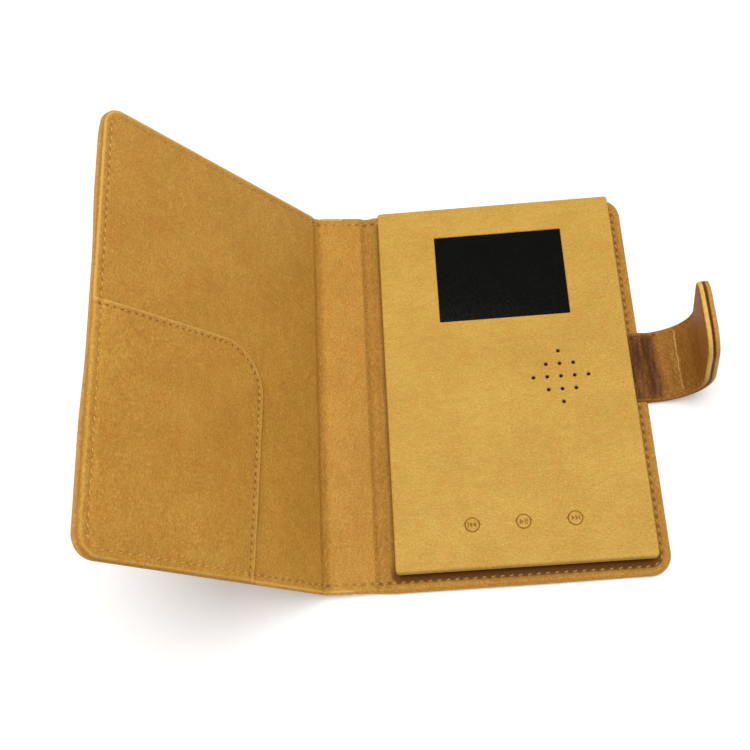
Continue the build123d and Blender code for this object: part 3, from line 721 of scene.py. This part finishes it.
def lining_shading(side, u, v, near_pit):
    """Painted light and shade of a lining: a painted highlight at its edge, painted shade in its pits, stitch
    groove and folds and, on the right, a painted shadow under and round the module.
    """
    depth = halves[side].depth(u, v)
    shading_and_tone = edge_highlight[side] * bell(depth, 0.5, 0.55) - 0.25 * bell(depth, STITCH_INSET, 0.6)
    shading_and_tone -= pit_shade[side] * (1 - 0.8 * head_fade(side, u, v)) * near_pit
    if side == "right":
        under_module = box_depth(u - COVER_DEPTH / 2, v, MODULE)
        shading_and_tone -= MODULE_SHADE * rise(-1.7, 0.2, under_module)
        shading_and_tone -= 0.3 * rise(5.6, 4.4, depth) * rise(20, 50, u)
        shading_and_tone -= 0.9 * rise(-3.3, -1.2, under_module) * rise(-76, -82, v)
    return shading_and_tone - GROOVE_SHADE * groove_share(side, u) - 0.1 * bell(u, crease_u[side], 0.7)


def bend_at_fold(piece, side):
    """Passes a piece and the ends of a fold's bend to bend, which bakes the piece's transform."""
    reach = folds[side].reach * halves[side].side
    bend(piece, folds[side].place, reach, -reach)


def make_cover_half(side):
    """Lining and outer leather of one cover and half the spine."""
    half, fold = halves[side], folds[side]
    plan = half.plan(INSETS, RING_STEP, columns[side], ROWS)
    u, v = plan[0].T
    depth = half.depth(u, v)
    board = BOARD_HALF * panel_share(side, u)
    free = np.abs(u - half.split) > 0.05
    pits = edge_places(side, 0.0)
    near_pit = pitted(u, v, pits, 0.6)

    bottom = board + 0.03 + 0.12 * bell(depth, 0, 0.25)
    pit = LINING_PIT_DEPTH * (1 - 0.7 * head_fade(side, u, v)) * pitted(u, v, pits)
    top = np.maximum(lining_top(side, u, v) - pit, bottom + 0.02)
    lining = slab(f"{side}_lining", plan, top, bottom, fold.place, 4, LINING_BULGE * free)
    set_slab_shading(lining, lining_shading(side, u, v, near_pit))

    inner = np.where(depth < 0.75, board - 0.15 * bell(depth, 0, 0.3), -board - 0.03)
    outside = np.minimum(PIT_DEPTH * pitted(u, v, pits) - outer_drop(side, u, v), inner - 0.3)
    bulge = outer_bulge(side, u, v) * free
    outer = slab(f"{side}_outer_leather", plan, inner, outside, fold.place, 6, bulge, seed=300)
    # The outer leather gets a painted highlight along its edge and walls, and painted shade in its grooves
    # and stitch pits.
    set_slab_shading(outer, 0.4 * bell(depth, 0.4, 0.6) - 0.35 * groove_share(side, u) - 0.7 * near_pit, 0.4)

    for skin, look in ((lining, "lining_leather"), (outer, "outer_leather")):
        dress(skin, look)
        bend_at_fold(skin, side)
    return lining, outer


def edge_places(side, start):
    """Places of a cover's edge stitches."""
    return path_places(halves[side].ring(STITCH_INSET, RING_STEP), STITCH_PITCH, start)


right_lining, right_outer = make_cover_half("right")
left_lining, left_outer = make_cover_half("left")
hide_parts("back_lining", "back_groove_lining", "spine_lining")
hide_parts("back_outer_leather", "back_groove_outer_leather", "spine_outer_leather")
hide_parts("front_lining", "front_groove_lining")
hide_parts("front_outer_leather", "front_groove_outer_leather")


# Pocket flap

FLAP_TOP_EDGE = 4.9
FLAP_TOP_CORNER = 9.4
FLAP_SIDE_TOP = 35.6
FLAP_SIDE_FOOT = 41.6
FLAP_CORNER = 20.0
FLAP_SEAM = 3.4
FLAP_GAP = 0.4
FLAP_SWELL = 0.7
FLAP_GRID = 2.6
HEM_STITCH = 2.2
HEM_PITCH = 3.1
HEM_INSETS = (0.1, 0.25, 0.5, 0.9, 1.35, 1.8, HEM_STITCH, 2.6, 3.1, 3.9)
FLAP_INSETS = (0.12, 0.3, 0.6, 1.1, 1.6, 2.2, 2.7, 3.2, 3.7, 4.4, 5.6)


def hem_line(inset, step=0.9):
    """The flap's free edge, drawn in, from the left edge over the round corner to the foot."""
    left = np.array([-COVER_DEPTH - 1, FLAP_TOP_EDGE])
    corner = np.array([-FLAP_SIDE_TOP, FLAP_TOP_CORNER])
    foot = np.array([-FLAP_SIDE_FOOT, -COVER_HEIGHT / 2 - 1])
    across = (corner - left) / np.linalg.norm(corner - left)
    down = (foot - corner) / np.linalg.norm(foot - corner)
    in_across, in_down = np.array([across[1], -across[0]]), np.array([down[1], -down[0]])
    turn = acos(float(across @ down))
    cut = FLAP_CORNER * tan(turn / 2)
    start = corner - across * cut
    end = corner + down * cut
    first = degrees(atan2(-in_across[1], -in_across[0]))
    line = straight(left + in_across * inset, start + in_across * inset, step)[:-1]
    centre, count = start + in_across * FLAP_CORNER, int(FLAP_CORNER * turn / step)
    line += arc(centre, FLAP_CORNER - inset, first, first - degrees(turn), count)
    return line + straight(end + in_down * inset, foot + in_down * inset, step)[1:]


def flap_outline():
    """The flap's whole outline: its hem, then the cover's edge back to the start."""
    half = halves["left"]
    hem = [p for p in HEM if half.depth(*p) > 0.05]
    begin = (-COVER_DEPTH, hem[0][1] - 0.05)
    finish = (hem[-1][0], -COVER_HEIGHT / 2)
    between = [p for p in half.ring(0, RING_STEP) if p[1] < begin[1] - 0.3 and p[0] < finish[0] - 0.3]
    return [begin] + hem + [finish] + between


HEM = hem_line(0.0)
FLAP_OUTLINE = flap_outline()


def hem_depth(u, v):
    """Distance in from the flap's hem."""
    return line_distance(np.column_stack([u, v]), HEM)


def flap_under(u, v):
    """Height of the flap's underside, which leaves the lining inside its seam."""
    depth, hem = halves["left"].depth(u, v), hem_depth(u, v)
    gap = FLAP_GAP * rise(FLAP_SEAM, FLAP_SEAM + 2.5, depth)
    swell = FLAP_SWELL * rise(FLAP_SEAM, 32, depth) * (0.45 + 0.55 * rise(0, 26, hem))
    return BOARD_HALF + LEATHER - 0.02 + gap + swell - rounding(depth, 0.5) * 0.9


def flap_top(u, v):
    """Height of the flap's surface."""
    depth, hem = halves["left"].depth(u, v), hem_depth(u, v)
    height = flap_under(u, v) + LEATHER - rounding(hem, 0.33) - 0.35 * rounding(depth, 0.6)
    height += seam_relief(depth) - 0.12 * bell(hem, HEM_STITCH, 0.45)
    return height + 0.08 * ripple(u, v, 16, 9.0) + 0.03 * ripple(u, v, 4, 6.0)


def make_flap():
    """The pocket's flap, sewn on the front cover's lining at the edge and free along its hem."""
    half = halves["left"]
    lines = [half.ring(inset, RING_STEP) for inset in FLAP_INSETS]
    lines = [[p for p in line if p[1] < FLAP_TOP_EDGE + 2 and p[0] < -FLAP_SIDE_TOP + 2] for line in lines]
    lines += [hem_line(inset, HEM_PITCH / 5) for inset in HEM_INSETS]
    grid = np.array([
        (a, b) for a in spaced(-COVER_DEPTH, -FLAP_SIDE_TOP, FLAP_GRID) for b in spaced(-90, 12, FLAP_GRID)
    ])
    clear = (half.depth(*grid.T) > 6.4) & (hem_depth(*grid.T) > 4.6) & inside(grid, FLAP_OUTLINE)
    plan = triangulate(FLAP_OUTLINE, lines, points=grid[clear])
    u, v = plan[0].T
    depth, hem = half.depth(u, v), hem_depth(u, v)
    near_pit = pitted(u, v, path_places(hem_line(HEM_STITCH), HEM_PITCH, 0.0), 0.55)
    under = flap_under(u, v)
    top = np.maximum(flap_top(u, v) - 0.16 * near_pit, under + 0.05)
    flap = slab("pocket_flap_leather", plan, top, under, folds["left"].place, 3, 0.08, seed=120)
    # The flap gets a painted highlight along its hem and edge, and painted shade along its stitches and in
    # their pits.
    shading_and_tone = 0.5 * bell(hem, 0.3, 0.9) - 0.2 * bell(hem, HEM_STITCH, 0.5) - 0.8 * near_pit
    set_slab_shading(flap, shading_and_tone + 0.4 * bell(depth, 0.6, 0.6) - 0.3 * bell(depth, STITCH_INSET, 0.6))
    dress(flap, "lining_leather")
    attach(flap, "front_cover")
    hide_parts("pocket_flap")


def sew_hem():
    """The stitches along the flap's hem."""
    places = [p for p in path_places(hem_line(HEM_STITCH), HEM_PITCH) if halves["left"].depth(*p[0]) > 4.2]
    row = stitch_row("pocket_hem_stitches", places, flap_top, folds["left"].place, HEM_THREAD)
    set_shading_and_tone(row, -0.2)
    dress(row, "light_thread")
    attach(row, "front_cover")


def sew_edge(side, layer):
    """The stitches along a cover's edge, over the lining and the flap or under the outer leather."""
    below = layer == "outer"
    places = edge_places(side, 0.5)
    if side == "right" and not below:
        under_strap = STRAP_WIDTH / 2 + 0.6
        places = [p for p in places if p[0][0] < COVER_DEPTH - 5 or abs(p[0][1] - STRAP_Y) > under_strap]

    def height(u, v):
        if below:
            return outer_drop(side, u, v) - THREAD_SINK
        if side == "left" and inside(np.column_stack([u, v]), FLAP_OUTLINE)[0]:
            return flap_top(u, v)
        return lining_top(side, u, v)

    row = stitch_row(f"{side}_{layer}_stitches", places, height, folds[side].place, EDGE_THREAD, below)
    u, v, _ = flat_places(row).T
    set_shading_and_tone(row, -0.4 * head_fade(side, u, v))
    dress(row, "light_thread")
    bend_at_fold(row, side)


make_flap()
sew_hem()
for layer in ("edge", "outer"):
    for side in ("right", "left"):
        sew_edge(side, layer)


# Strap

STRAP_INSETS = [0, 0.1, 0.25, 0.5, 0.85, 1.2, 1.5, 1.8, 2.3, 3.2]
STRAP_STITCH = 1.6
STRAP_PITCH = 3.2
STRAP_SEAM = 0.09
SEAM_SHADE = -0.9
MARGIN_RISE = 1.05
MARGIN_CLEAR = 0.5
MAIN_CREASE = 16.5
STRAP_START = {"face": -5.9, "back": -1.2}
FIRST_STITCH = {"face": -4.6, "back": 1.0}
STRAP_END = STRAP_ROOT_LENGTH + STRAP_ARC + STRAP_TIP
strap_halves = {}
for layer, start in STRAP_START.items():
    strap_halves["root", layer] = Half(STRAP_SPLIT, start, STRAP_WIDTH / 2, 0.4, STRAP_Y)
    strap_halves["tip", layer] = Half(STRAP_SPLIT, STRAP_END, STRAP_WIDTH / 2, STRAP_CORNER, STRAP_Y)
strap_solids = {
    ("root", "face"): ("strap_root_lining", "strap_root_padding", "strap_root_bend"),
    ("root", "back"): ("strap_root_outer_leather", "strap_middle_bend"),
    ("tip", "face"): ("strap_tip_lining", "strap_tip_padding"),
    ("tip", "back"): ("strap_tip_outer_leather",),
}


def strap_thickness(s):
    """How thick the strap is, more towards its tip."""
    share = np.clip((s - STRAP_ROOT_LENGTH) / STRAP_ARC, 0, 1)
    return STRAP_THIN + (STRAP_THICK - STRAP_THIN) * share


def strap_place(s, v, w):
    """Where a point of the strap is: s along it from the cover's edge, w above its middle."""
    s, v, w = (np.asarray(a, float) for a in (s, v, w))
    straight_run = np.minimum(s, STRAP_ROOT_LENGTH)
    heading = STRAP_ROOT_ANGLE + np.clip(s - STRAP_ROOT_LENGTH, 0, STRAP_ARC) / STRAP_RADIUS
    beyond = np.maximum(s - STRAP_ROOT_LENGTH - STRAP_ARC, 0)
    depth = strap_thickness(s) / 2 - w
    x = STRAP_EDGE_X + straight_run * cos(STRAP_ROOT_ANGLE) + beyond * np.cos(heading)
    x += STRAP_RADIUS * (np.sin(heading) - sin(STRAP_ROOT_ANGLE)) + depth * np.sin(heading)
    z = STRAP_ROOT_Z + straight_run * sin(STRAP_ROOT_ANGLE) + beyond * np.sin(heading)
    z += STRAP_RADIUS * (cos(STRAP_ROOT_ANGLE) - np.cos(heading)) - depth * np.cos(heading)
    return np.column_stack([x, v, z])


def strap_depth(part, s, v):
    """Distance in from the strap's stitched edges."""
    if part == "tip":
        return strap_halves["tip", "face"].depth(s, v)
    return STRAP_WIDTH / 2 - np.abs(v - STRAP_Y)


def strap_creases(s, v):
    """Cross wrinkles on the strap's hollow side, deeper towards the cover."""
    bent = s + 1.0 * ripple(s * 0, v, 9, 1.0) + 0.6 * ripple(s * 0, v, 3.4, 2.0)
    fade = rise(-5.5, 3, s) * (1 - 0.7 * rise(18, 36, s))
    wave = ripple(bent, v * 0.12, 3.4, 6.0)
    short_wave = ripple(bent, v * 0.3, 1.2, 9.0)
    fold_line = bell(bent, MAIN_CREASE, 0.34) - 0.5 * bell(bent, MAIN_CREASE + 1.0, 0.5)
    return fade * (0.2 * wave + 0.14 * short_wave + 0.55 * fold_line)


def strap_lift(s):
    """Rise of the strap's inner leather onto the cover's margin, where it lies level up to the module."""
    return np.maximum(-s, 0) * sin(STRAP_ROOT_ANGLE) + MARGIN_RISE * rise(4.8, 0.3, s)


def strap_surface(part, layer, s, v):
    """Height of the strap's inner or outer surface over its middle."""
    half = strap_thickness(s) / 2
    depth = strap_depth(part, s, v)
    height = half - rounding(depth, 0.46 * half) - 0.2 * bell(depth, STRAP_STITCH, 0.5)
    if layer == "back":
        return height + 0.05 * ripple(s, v, 7, 3.0) + 0.2 * rise(2.2, 7, depth)
    middle = rise(2.2, 6, depth)
    return height + strap_creases(s, v) * (0.35 + 0.65 * middle) + 0.15 * middle + strap_lift(s)


def strap_face_shading(s, v, depth):
    """Painted light and shade of the strap's inner leather: a painted shadow towards the cover, painted
    highlights at the tip's edge and across its middle, and painted shading on its creases.
    """
    uneven = s + 1.2 * ripple(s * 0, v, 6, 4.0) + 0.8 * ripple(s, v * 0.2, 1.6, 5.0)
    root_shade = rise(11.5, 5, uneven) * (0.6 + 0.4 * rise(0.8, 3, depth))
    root_shade *= 0.85 + 0.4 * ripple(s, v * 0.12, 1.5, 7.0)
    shading_and_tone = 0.8 * bell(depth, 0.3, 0.9) * rise(20, 44, s) - root_shade
    return shading_and_tone + 0.15 * bell(s, 13.5, 2.6) + 1.1 * rise(1.5, 2.5, depth) * strap_creases(s, v)


def strap_places(part, layer, start):
    """Places of the strap's stitches, along both long edges and round the tip."""
    places = path_places(strap_halves[part, layer].ring(STRAP_STITCH, 0.7), STRAP_PITCH, start)
    return [p for p in places if p[0][0] > FIRST_STITCH[layer]]


def bend_strap(piece, part):
    """Passes a piece of the strap to bend, with the places where it leaves the cover or those round its
    middle.
    """
    if part == "root":
        bend(piece, strap_place, 0.0, STRAP_ROOT_LENGTH + 2, STRAP_Y)
    else:
        low, high = MIDDLE_BEND
        bend(piece, strap_place, low - 2, high + 2, STRAP_Y)


def make_strap_layer(part, layer):
    """The inner or outer leather of one part of the strap, with half its padding."""
    half_plan = strap_halves[part, layer]
    low, high = sorted((half_plan.split, half_plan.free))
    rows = spaced(-STRAP_WIDTH / 2, STRAP_WIDTH / 2, 1.1)
    places = [s for s in spaced(low, high, 0.7) if abs(s - MAIN_CREASE) > 2]
    places += [s for s in spaced(MAIN_CREASE - 1.75, MAIN_CREASE + 1.75, 0.25) if low < s < high]
    plan = half_plan.plan(STRAP_INSETS, 0.74, sorted(places), rows)
    s, v = plan[0].T
    depth = strap_depth(part, s, v)
    seam = rounding(depth, STRAP_SEAM * strap_thickness(s)) + 0.01
    near_pit = pitted(s, v, strap_places(part, layer, 0.0))
    surface = strap_surface(part, layer, s, v) - PIT_DEPTH * near_pit
    name = f"strap_{part}_{layer}"
    # Painted shade in the seam between the layers and in the stitch pits, and a painted highlight along the
    # edge towards the tip and at the outer leather's rim.
    if layer == "back":
        piece = slab(name, plan, -seam, -surface, strap_place, 2, 0.04, seed=260)
        edge_shading = 0.6 * rise(22, 50, flat_places(piece)[2 * len(s):, 0]) - 0.2
        set_slab_shading(piece, np.full(len(s), SEAM_SHADE), edge_shading, 0.5 * bell(depth, 0.5, 0.7) - 0.6 * near_pit)
    else:
        on_margin = rise(1.2, 0.5, s)
        under = seam * (1 - on_margin) + (MARGIN_CLEAR + strap_lift(s)) * on_margin
        piece = slab(name, plan, surface, under, strap_place, 2, 0.04, seed=200)
        edge_shading = 0.95 * rise(22, 52, flat_places(piece)[2 * len(s):, 0]) - 0.15
        set_slab_shading(piece, strap_face_shading(s, v, depth) - 0.4 * near_pit, edge_shading, SEAM_SHADE)
    dress(piece, "strap_leather" if layer == "face" else "outer_leather")
    bend_strap(piece, part)
    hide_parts(*strap_solids[part, layer])


def sew_strap(part, layer):
    """The stitches on one side of a part of the strap, with painted shade on them towards the cover."""
    below = layer == "back"
    places = strap_places(part, layer, 0.5)
    if part == "root":
        places = [p for p in places if abs(p[1][0]) > 0.9]

    def height(s, v):
        return strap_surface(part, layer, s, v)

    row = stitch_row(f"strap_{part}_{layer}_stitches", places, height, strap_place, STRAP_THREAD, below)
    set_shading_and_tone(row, SEAM_SHADE * rise(9, 4, flat_places(row)[:, 0]))
    dress(row, "dark_thread" if below else "strap_thread")
    bend_strap(row, part)


for part in ("root", "tip"):
    for make in (make_strap_layer, sew_strap):
        for layer in ("face", "back"):
            make(part, layer)


# Module's face

FACE_INSETS = (0.06, 0.2, 0.4, 0.65, 0.8, 0.9, 1.2, 1.7)
FACE_EDGE = 0.8
FACE_GRID = 3.0
SKIRT_DROP = 1.1
WINDOW_LIPS = (0.1, 0.3, 0.6, 1.2)
HOLE_POINTS = 20
HOLE_LIPS = (0.08, 0.25, 0.5)
RING_POINTS = 72
RING_LIPS = (0.1, 0.25, 0.45, 0.7, 0.95, 1.25)
EAR = ((2.9, 1.1), (3.95, -0.5))


def make_face():
    """The module's leather face with its window, sound holes and pressed button rings."""
    steps = range(-2, 3)
    diamond = [(i, j) for i in steps for j in steps if abs(i) + abs(j) <= 2]
    spots = [(SPEAKER[0] + i * HOLE_PITCH, SPEAKER[1] + j * HOLE_PITCH) for i, j in diamond]
    rings = [(x, BUTTON_Y) for x in BUTTON_XS.values()]
    holes = [box_line(WINDOW, 1.2)] + [circle_line(spot, HOLE_RADIUS, HOLE_POINTS) for spot in spots]
    holes += [circle_line(at, GAP_RADIUS, RING_POINTS) for at in rings]
    lines = [box_line(MODULE, 1.5, -inset) for inset in FACE_INSETS]
    lines += [box_line(WINDOW, 1.2, lip) for lip in WINDOW_LIPS]
    lines += [circle_line(spot, HOLE_RADIUS + lip, HOLE_POINTS) for spot in spots for lip in HOLE_LIPS]
    lines += [circle_line(at, GAP_RADIUS + lip, RING_POINTS) for at in rings for lip in RING_LIPS]
    _, y, width, length, _ = MODULE
    ys = spaced(y - length / 2, y + length / 2, FACE_GRID)
    grid = np.array([(a, b) for a in spaced(-width / 2, width / 2, FACE_GRID) for b in ys])
    clear = (box_depth(*grid.T, MODULE) > 2.6) & (box_depth(*grid.T, WINDOW) < -2.2)
    clear &= nearest(grid, spots) > HOLE_RADIUS + 1.1
    clear &= nearest(grid, rings) > GAP_RADIUS + 1.6
    closed = [line + line[:1] for line in lines]
    plan = triangulate(box_line(MODULE, 1.5), closed, holes, grid[clear])

    x, y = plan[0].T
    depth = box_depth(x, y, MODULE)
    window_depth = np.maximum(-box_depth(x, y, WINDOW), 0)
    hole_depth = np.maximum(nearest(plan[0], spots) - HOLE_RADIUS, 0)
    ring_depth = np.maximum(nearest(plan[0], rings) - GAP_RADIUS, 0)
    ears = [[(at[0] + sign * a, at[1] + b) for a, b in EAR] for at in rings for sign in (-1, 1)]
    ear_depth = np.min([line_distance(plan[0], ear) for ear in ears], axis=0)
    top = FACE_Z - rounding(depth, FACE_EDGE)
    top -= 0.8 * rounding(window_depth, 0.3) + rounding(hole_depth, 0.25) + 0.8 * rounding(ring_depth, 0.3)
    top += 0.03 * ripple(x, y, 18, 3.0) - 0.1 * bell(hole_depth, 0, 0.8) - 0.08 * bell(ring_depth, 0, 0.9)
    under = np.where(depth < 0.84, RIM_Z - SKIRT_DROP + rounding(depth, 0.3), FACE_Z - FACE_LEATHER)
    face = slab("module_face_leather", plan, top, under, level, 7, 0.12, seed=400)
    # Painted shade round the button gaps, in their ears, round the sound holes and on the face's walls, a
    # painted highlight at the face's edge, and painted light rising towards the near right.
    gap_shade = 0.8 + 0.3 * ripple(x, y, 1.3, 6.0)
    shading_and_tone = 0.12 * bell(depth, 0.4, 0.8)
    shading_and_tone -= gap_shade * (bell(ring_depth, 0, 0.34) + 0.75 * bell(ear_depth, 0, 0.3))
    shading_and_tone += 0.12 * rise(-60, 60, x - 0.7 * y) - 0.7 * bell(hole_depth, 0, 0.25)
    set_slab_shading(face, shading_and_tone, -0.4)
    dress(face, "face_leather")
    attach(face, "back_cover")
    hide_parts("face_leather")


make_face()


# Buttons

SIGN_RISE = 0.06
SIGN_ROOT = 0.15
SIGN_HALF = 1.1


def arrow(x, width, sign):
    """A triangle that points left or right."""
    return [(x - sign * width / 2, -SIGN_HALF), (x + sign * width / 2, 0), (x - sign * width / 2, SIGN_HALF)]


def bar(x, width=0.45):
    """An upright bar."""
    low, high = x - width / 2, x + width / 2
    return [(low, -SIGN_HALF), (high, -SIGN_HALF), (high, SIGN_HALF), (low, SIGN_HALF)]


SIGNS = {
    "previous": [bar(-1.7), arrow(-0.7, 1.35, -1), arrow(0.85, 1.35, -1)],
    "play": [arrow(-0.8, 1.6, 1), bar(0.55), bar(1.35)],
    "next": [arrow(-0.85, 1.35, 1), arrow(0.7, 1.35, 1), bar(1.7)],
}


def make_sign(name):
    """The button's sign, standing a little proud of its cap, with slanted edges."""
    centre = np.array([BUTTON_XS[name], BUTTON_Y])
    cap_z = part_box(f"button_{name}")[1][2] / MM
    points, faces = [], []
    for shape in SIGNS[name]:
        shape = np.array(shape)
        if cross(shape[1] - shape[0], shape[2] - shape[1]) < 0:
            shape = shape[::-1]
        first, count = len(points), len(shape)
        middle = shape.mean(axis=0)
        for share, z in ((1.0, cap_z - SIGN_ROOT), (1.0, cap_z + SIGN_RISE * 0.5), (0.86, cap_z + SIGN_RISE)):
            points += [(*(centre + middle + (corner - middle) * share), z) for corner in shape]
        faces.append(tuple(range(first, first + count))[::-1])
        for row in (first, first + count):
            pairs = [(row + i, row + (i + 1) % count) for i in range(count)]
            faces += [(a, b, b + count, a + count) for a, b in pairs]
        faces.append(tuple(range(first + 2 * count, first + 3 * count)))
    sign = add_mesh(f"{name}_sign", points, faces, points, smooth=False)
    set_shading_and_tone(sign, -0.85)
    dress(sign, "face_leather")
    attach(sign, f"{name}_button")


for name in SIGNS:
    make_sign(name)


# The other solids keep their shapes and get their finish here. A finish is its dark and light tone, grain
# size and roughness. Its bump, metallic share, streak and gloss follow where they aren't the usual.

PLAIN_FINISHES = {
    "lens_black": ((8, 8, 7), (14, 14, 12), 0.8, 0.12, 0.0003, 0, (1, 1, 1), 0.1),
    "grey_board": ((120, 112, 98), (150, 142, 126), 0.5, 0.9, 0.05),
    "padding_foam": ((200, 192, 170), (222, 214, 194), 0.7, 0.95, 0.1),
    "steel_plate": ((150, 152, 155), (190, 192, 196), 0.3, 0.35, 0.01, 1.0, (1, 8, 1)),
    "magnet_nickel": ((178, 176, 170), (206, 204, 198), 0.4, 0.25, 0.005, 1.0),
    "tray_plastic": ((20, 18, 16), (34, 31, 28), 0.4, 0.55),
    "adhesive": ((206, 196, 160), (226, 218, 188), 0.8, 0.6, 0.03),
    "lcd_metal": ((168, 170, 172), (200, 202, 204), 0.5, 0.3, 0.005, 1.0, (1, 6, 1)),
    "lcd_glass": ((14, 15, 18), (22, 23, 27), 2.0, 0.15, 0.001),
    "backlight_plastic": ((224, 226, 228), (240, 241, 243), 0.8, 0.4),
    "flex_film": ((168, 98, 24), (196, 122, 38), 0.5, 0.35, 0.02, 0, (8, 1, 1)),
    "circuit_green": ((16, 84, 44), (26, 108, 58), 0.6, 0.4, 0.03),
    "chip_black": ((24, 24, 26), (40, 40, 42), 0.25, 0.6),
    "connector_cream": ((214, 204, 178), (232, 224, 202), 0.4, 0.45),
    "socket_steel": ((176, 178, 180), (208, 210, 212), 0.4, 0.28, 0.006, 1.0, (6, 1, 1)),
    "screw_steel": ((160, 160, 162), (200, 200, 202), 0.2, 0.3, 0.01, 1.0),
    "pouch_foil": ((168, 170, 174), (206, 208, 212), 1.8, 0.35, 0.12, 0.9),
    "wire_sleeve": ((150, 20, 18), (184, 34, 28), 0.4, 0.45),
    "speaker_steel": ((130, 132, 134), (168, 170, 172), 0.3, 0.35, 0.01, 1.0),
    "speaker_paper": ((22, 20, 18), (40, 36, 32), 0.5, 0.85, 0.08),
    "gasket_foam": ((20, 20, 20), (38, 38, 38), 0.5, 0.95, 0.1),
    "switch_plastic": ((30, 30, 32), (48, 48, 50), 0.3, 0.5),
}


def cap_leather(name, x):
    """The face's leather on a button, with painted shade where it turns down at the rim."""
    streak, grain, dark, middle, light, gap_shade, _ = LEATHERS["face_leather"]
    paint = Paint(name)
    colour, fine, speck, _ = leather_colour(paint, streak, dark, middle, light)
    ends = {0: paint.scaled(1, 1, 0), 1: (x * MM, BUTTON_Y * MM, 0)}
    away = paint.add("ShaderNodeVectorMath", ends, operation="DISTANCE").outputs["Value"]
    rim_shade = paint.spread(away, (BUTTON_RADIUS - 0.45) * MM, BUTTON_RADIUS * MM, 0, 0.75)
    paint.set("Base Color", paint.mix(rim_shade, colour, tone(*gap_shade)))
    paint.set("Roughness", 0.6)
    paint.set("Specular IOR Level", LEATHER_SPECULAR)
    paint.bump(paint.blend([(fine, 0.8), (speck, 0.5)]), grain, 0.8)
    return paint.material


def plain(name, dark, light, size, roughness, bump=0.02, metallic=0.0, streak=(1, 1, 1), gloss=0.5):
    """Moulded, stamped or painted material with a fine texture."""
    paint = Paint(name)
    grain = paint.noise(size, 3, 0.6, paint.scaled(*streak))
    broad = paint.noise(size * 14, 2, 0.5)
    pattern = paint.blend([(grain, 0.6), (broad, 0.4)])
    paint.set("Base Color", paint.ramp(pattern, [(0.35, tone(*dark)), (0.65, tone(*light))]))
    paint.set("Roughness", paint.spread(grain, 0.3, 0.7, roughness - 0.06, roughness + 0.06))
    paint.set("Metallic", metallic)
    paint.set("Specular IOR Level", gloss)
    paint.bump(grain, bump)
    return paint.material


solid_finishes = {name: plain(name, *look) for name, look in PLAIN_FINISHES.items()}
cap_finishes = {f"button_{name}": cap_leather(f"{name}_cap_leather", x) for name, x in BUTTON_XS.items()}
solid_leather = plain("plain_leather", (158, 108, 46), (188, 136, 62), 0.55, 0.6, 0.07)
for row in frame["record"]["subparts"]:
    finish = cap_finishes.get(row["node"]) or solid_finishes.get(row["material_slot"], solid_leather)
    materials = frame["nodes"][row["node"]].data.materials
    materials.clear()
    materials.append(finish)


# Floor, light and camera, with the camera's numbers fitted to the photograph

FLOOR_SIZE = 16
FLOOR_GLOW = 0.22
WORLD_STRENGTH = 0.36
LAMP_PLACE = (-0.04, 0.1, 1.25)
LAMP_SIZE = 0.9
LAMP_POWER = 12.4
CAMERA_PLACE = (-28.75, -161.75, 410.4)
CAMERA_YAW = 6.1
CAMERA_ELEVATION = 68.6
CAMERA_ROLL = 9.9
CAMERA_FOCAL_PX = 991.5
CAMERA_CENTRE_PX = (404.3, 395.7)
PICTURE_PX = 750


def add_floor():
    """A pale light table, which keeps the shadows light."""
    bpy.ops.mesh.primitive_grid_add(x_subdivisions=2, y_subdivisions=2, size=FLOOR_SIZE)
    floor = bpy.context.object
    floor.name = "floor"
    paint = Paint("floor_paint")
    soft = paint.noise(60, 2, 0.5)
    paint.set("Base Color", paint.ramp(soft, [(0.3, (0.9, 0.9, 0.9, 1)), (0.7, (0.92, 0.92, 0.92, 1))]))
    paint.set("Roughness", 0.9)
    paint.set("Emission Color", (1, 1, 1, 1))
    paint.set("Emission Strength", FLOOR_GLOW)
    floor.data.materials.append(paint.material)


def add_lamp():
    """A round soft box overhead."""
    data = bpy.data.lights.new("overhead", "AREA")
    data.shape = "DISK"
    data.size = LAMP_SIZE
    data.energy = LAMP_POWER
    lamp = bpy.data.objects.new("overhead", data)
    lamp.location = LAMP_PLACE
    lamp.rotation_euler = (-Vector(LAMP_PLACE)).to_track_quat("-Z", "Y").to_euler()
    bpy.context.scene.collection.objects.link(lamp)


def add_camera():
    """The photograph's camera, as a place, three angles and a frame."""
    data = bpy.data.cameras.new("camera")
    data.sensor_width = 36
    data.lens = CAMERA_FOCAL_PX / PICTURE_PX * data.sensor_width
    data.shift_x = (PICTURE_PX / 2 - CAMERA_CENTRE_PX[0]) / PICTURE_PX
    data.shift_y = (CAMERA_CENTRE_PX[1] - PICTURE_PX / 2) / PICTURE_PX
    data.clip_start = 0.01
    yaw, elevation, roll = (radians(a) for a in (CAMERA_YAW, CAMERA_ELEVATION, CAMERA_ROLL))
    across = cos(elevation)
    back = Vector((sin(yaw) * across, -cos(yaw) * across, sin(elevation)))
    right = (-back).cross(Vector((0, 0, 1))).normalized()
    down = (-back).cross(right)
    turned_right = right * cos(roll) + down * sin(roll)
    turned_down = down * cos(roll) - right * sin(roll)
    matrix = Matrix((turned_right, -turned_down, back)).transposed().to_4x4()
    matrix.translation = Vector(CAMERA_PLACE) * MM
    camera = bpy.data.objects.new("camera", data)
    camera.matrix_world = matrix
    bpy.context.scene.collection.objects.link(camera)
    bpy.context.scene.camera = camera


def add_world():
    """An even pale surround."""
    world = bpy.data.worlds.new("studio")
    world.use_nodes = True
    background = world.node_tree.nodes["Background"]
    background.inputs["Color"].default_value = (1, 1, 1, 1)
    background.inputs["Strength"].default_value = WORLD_STRENGTH
    bpy.context.scene.world = world


add_floor()
add_lamp()
add_camera()
add_world()
bpy.context.scene.view_settings.view_transform = "Standard"
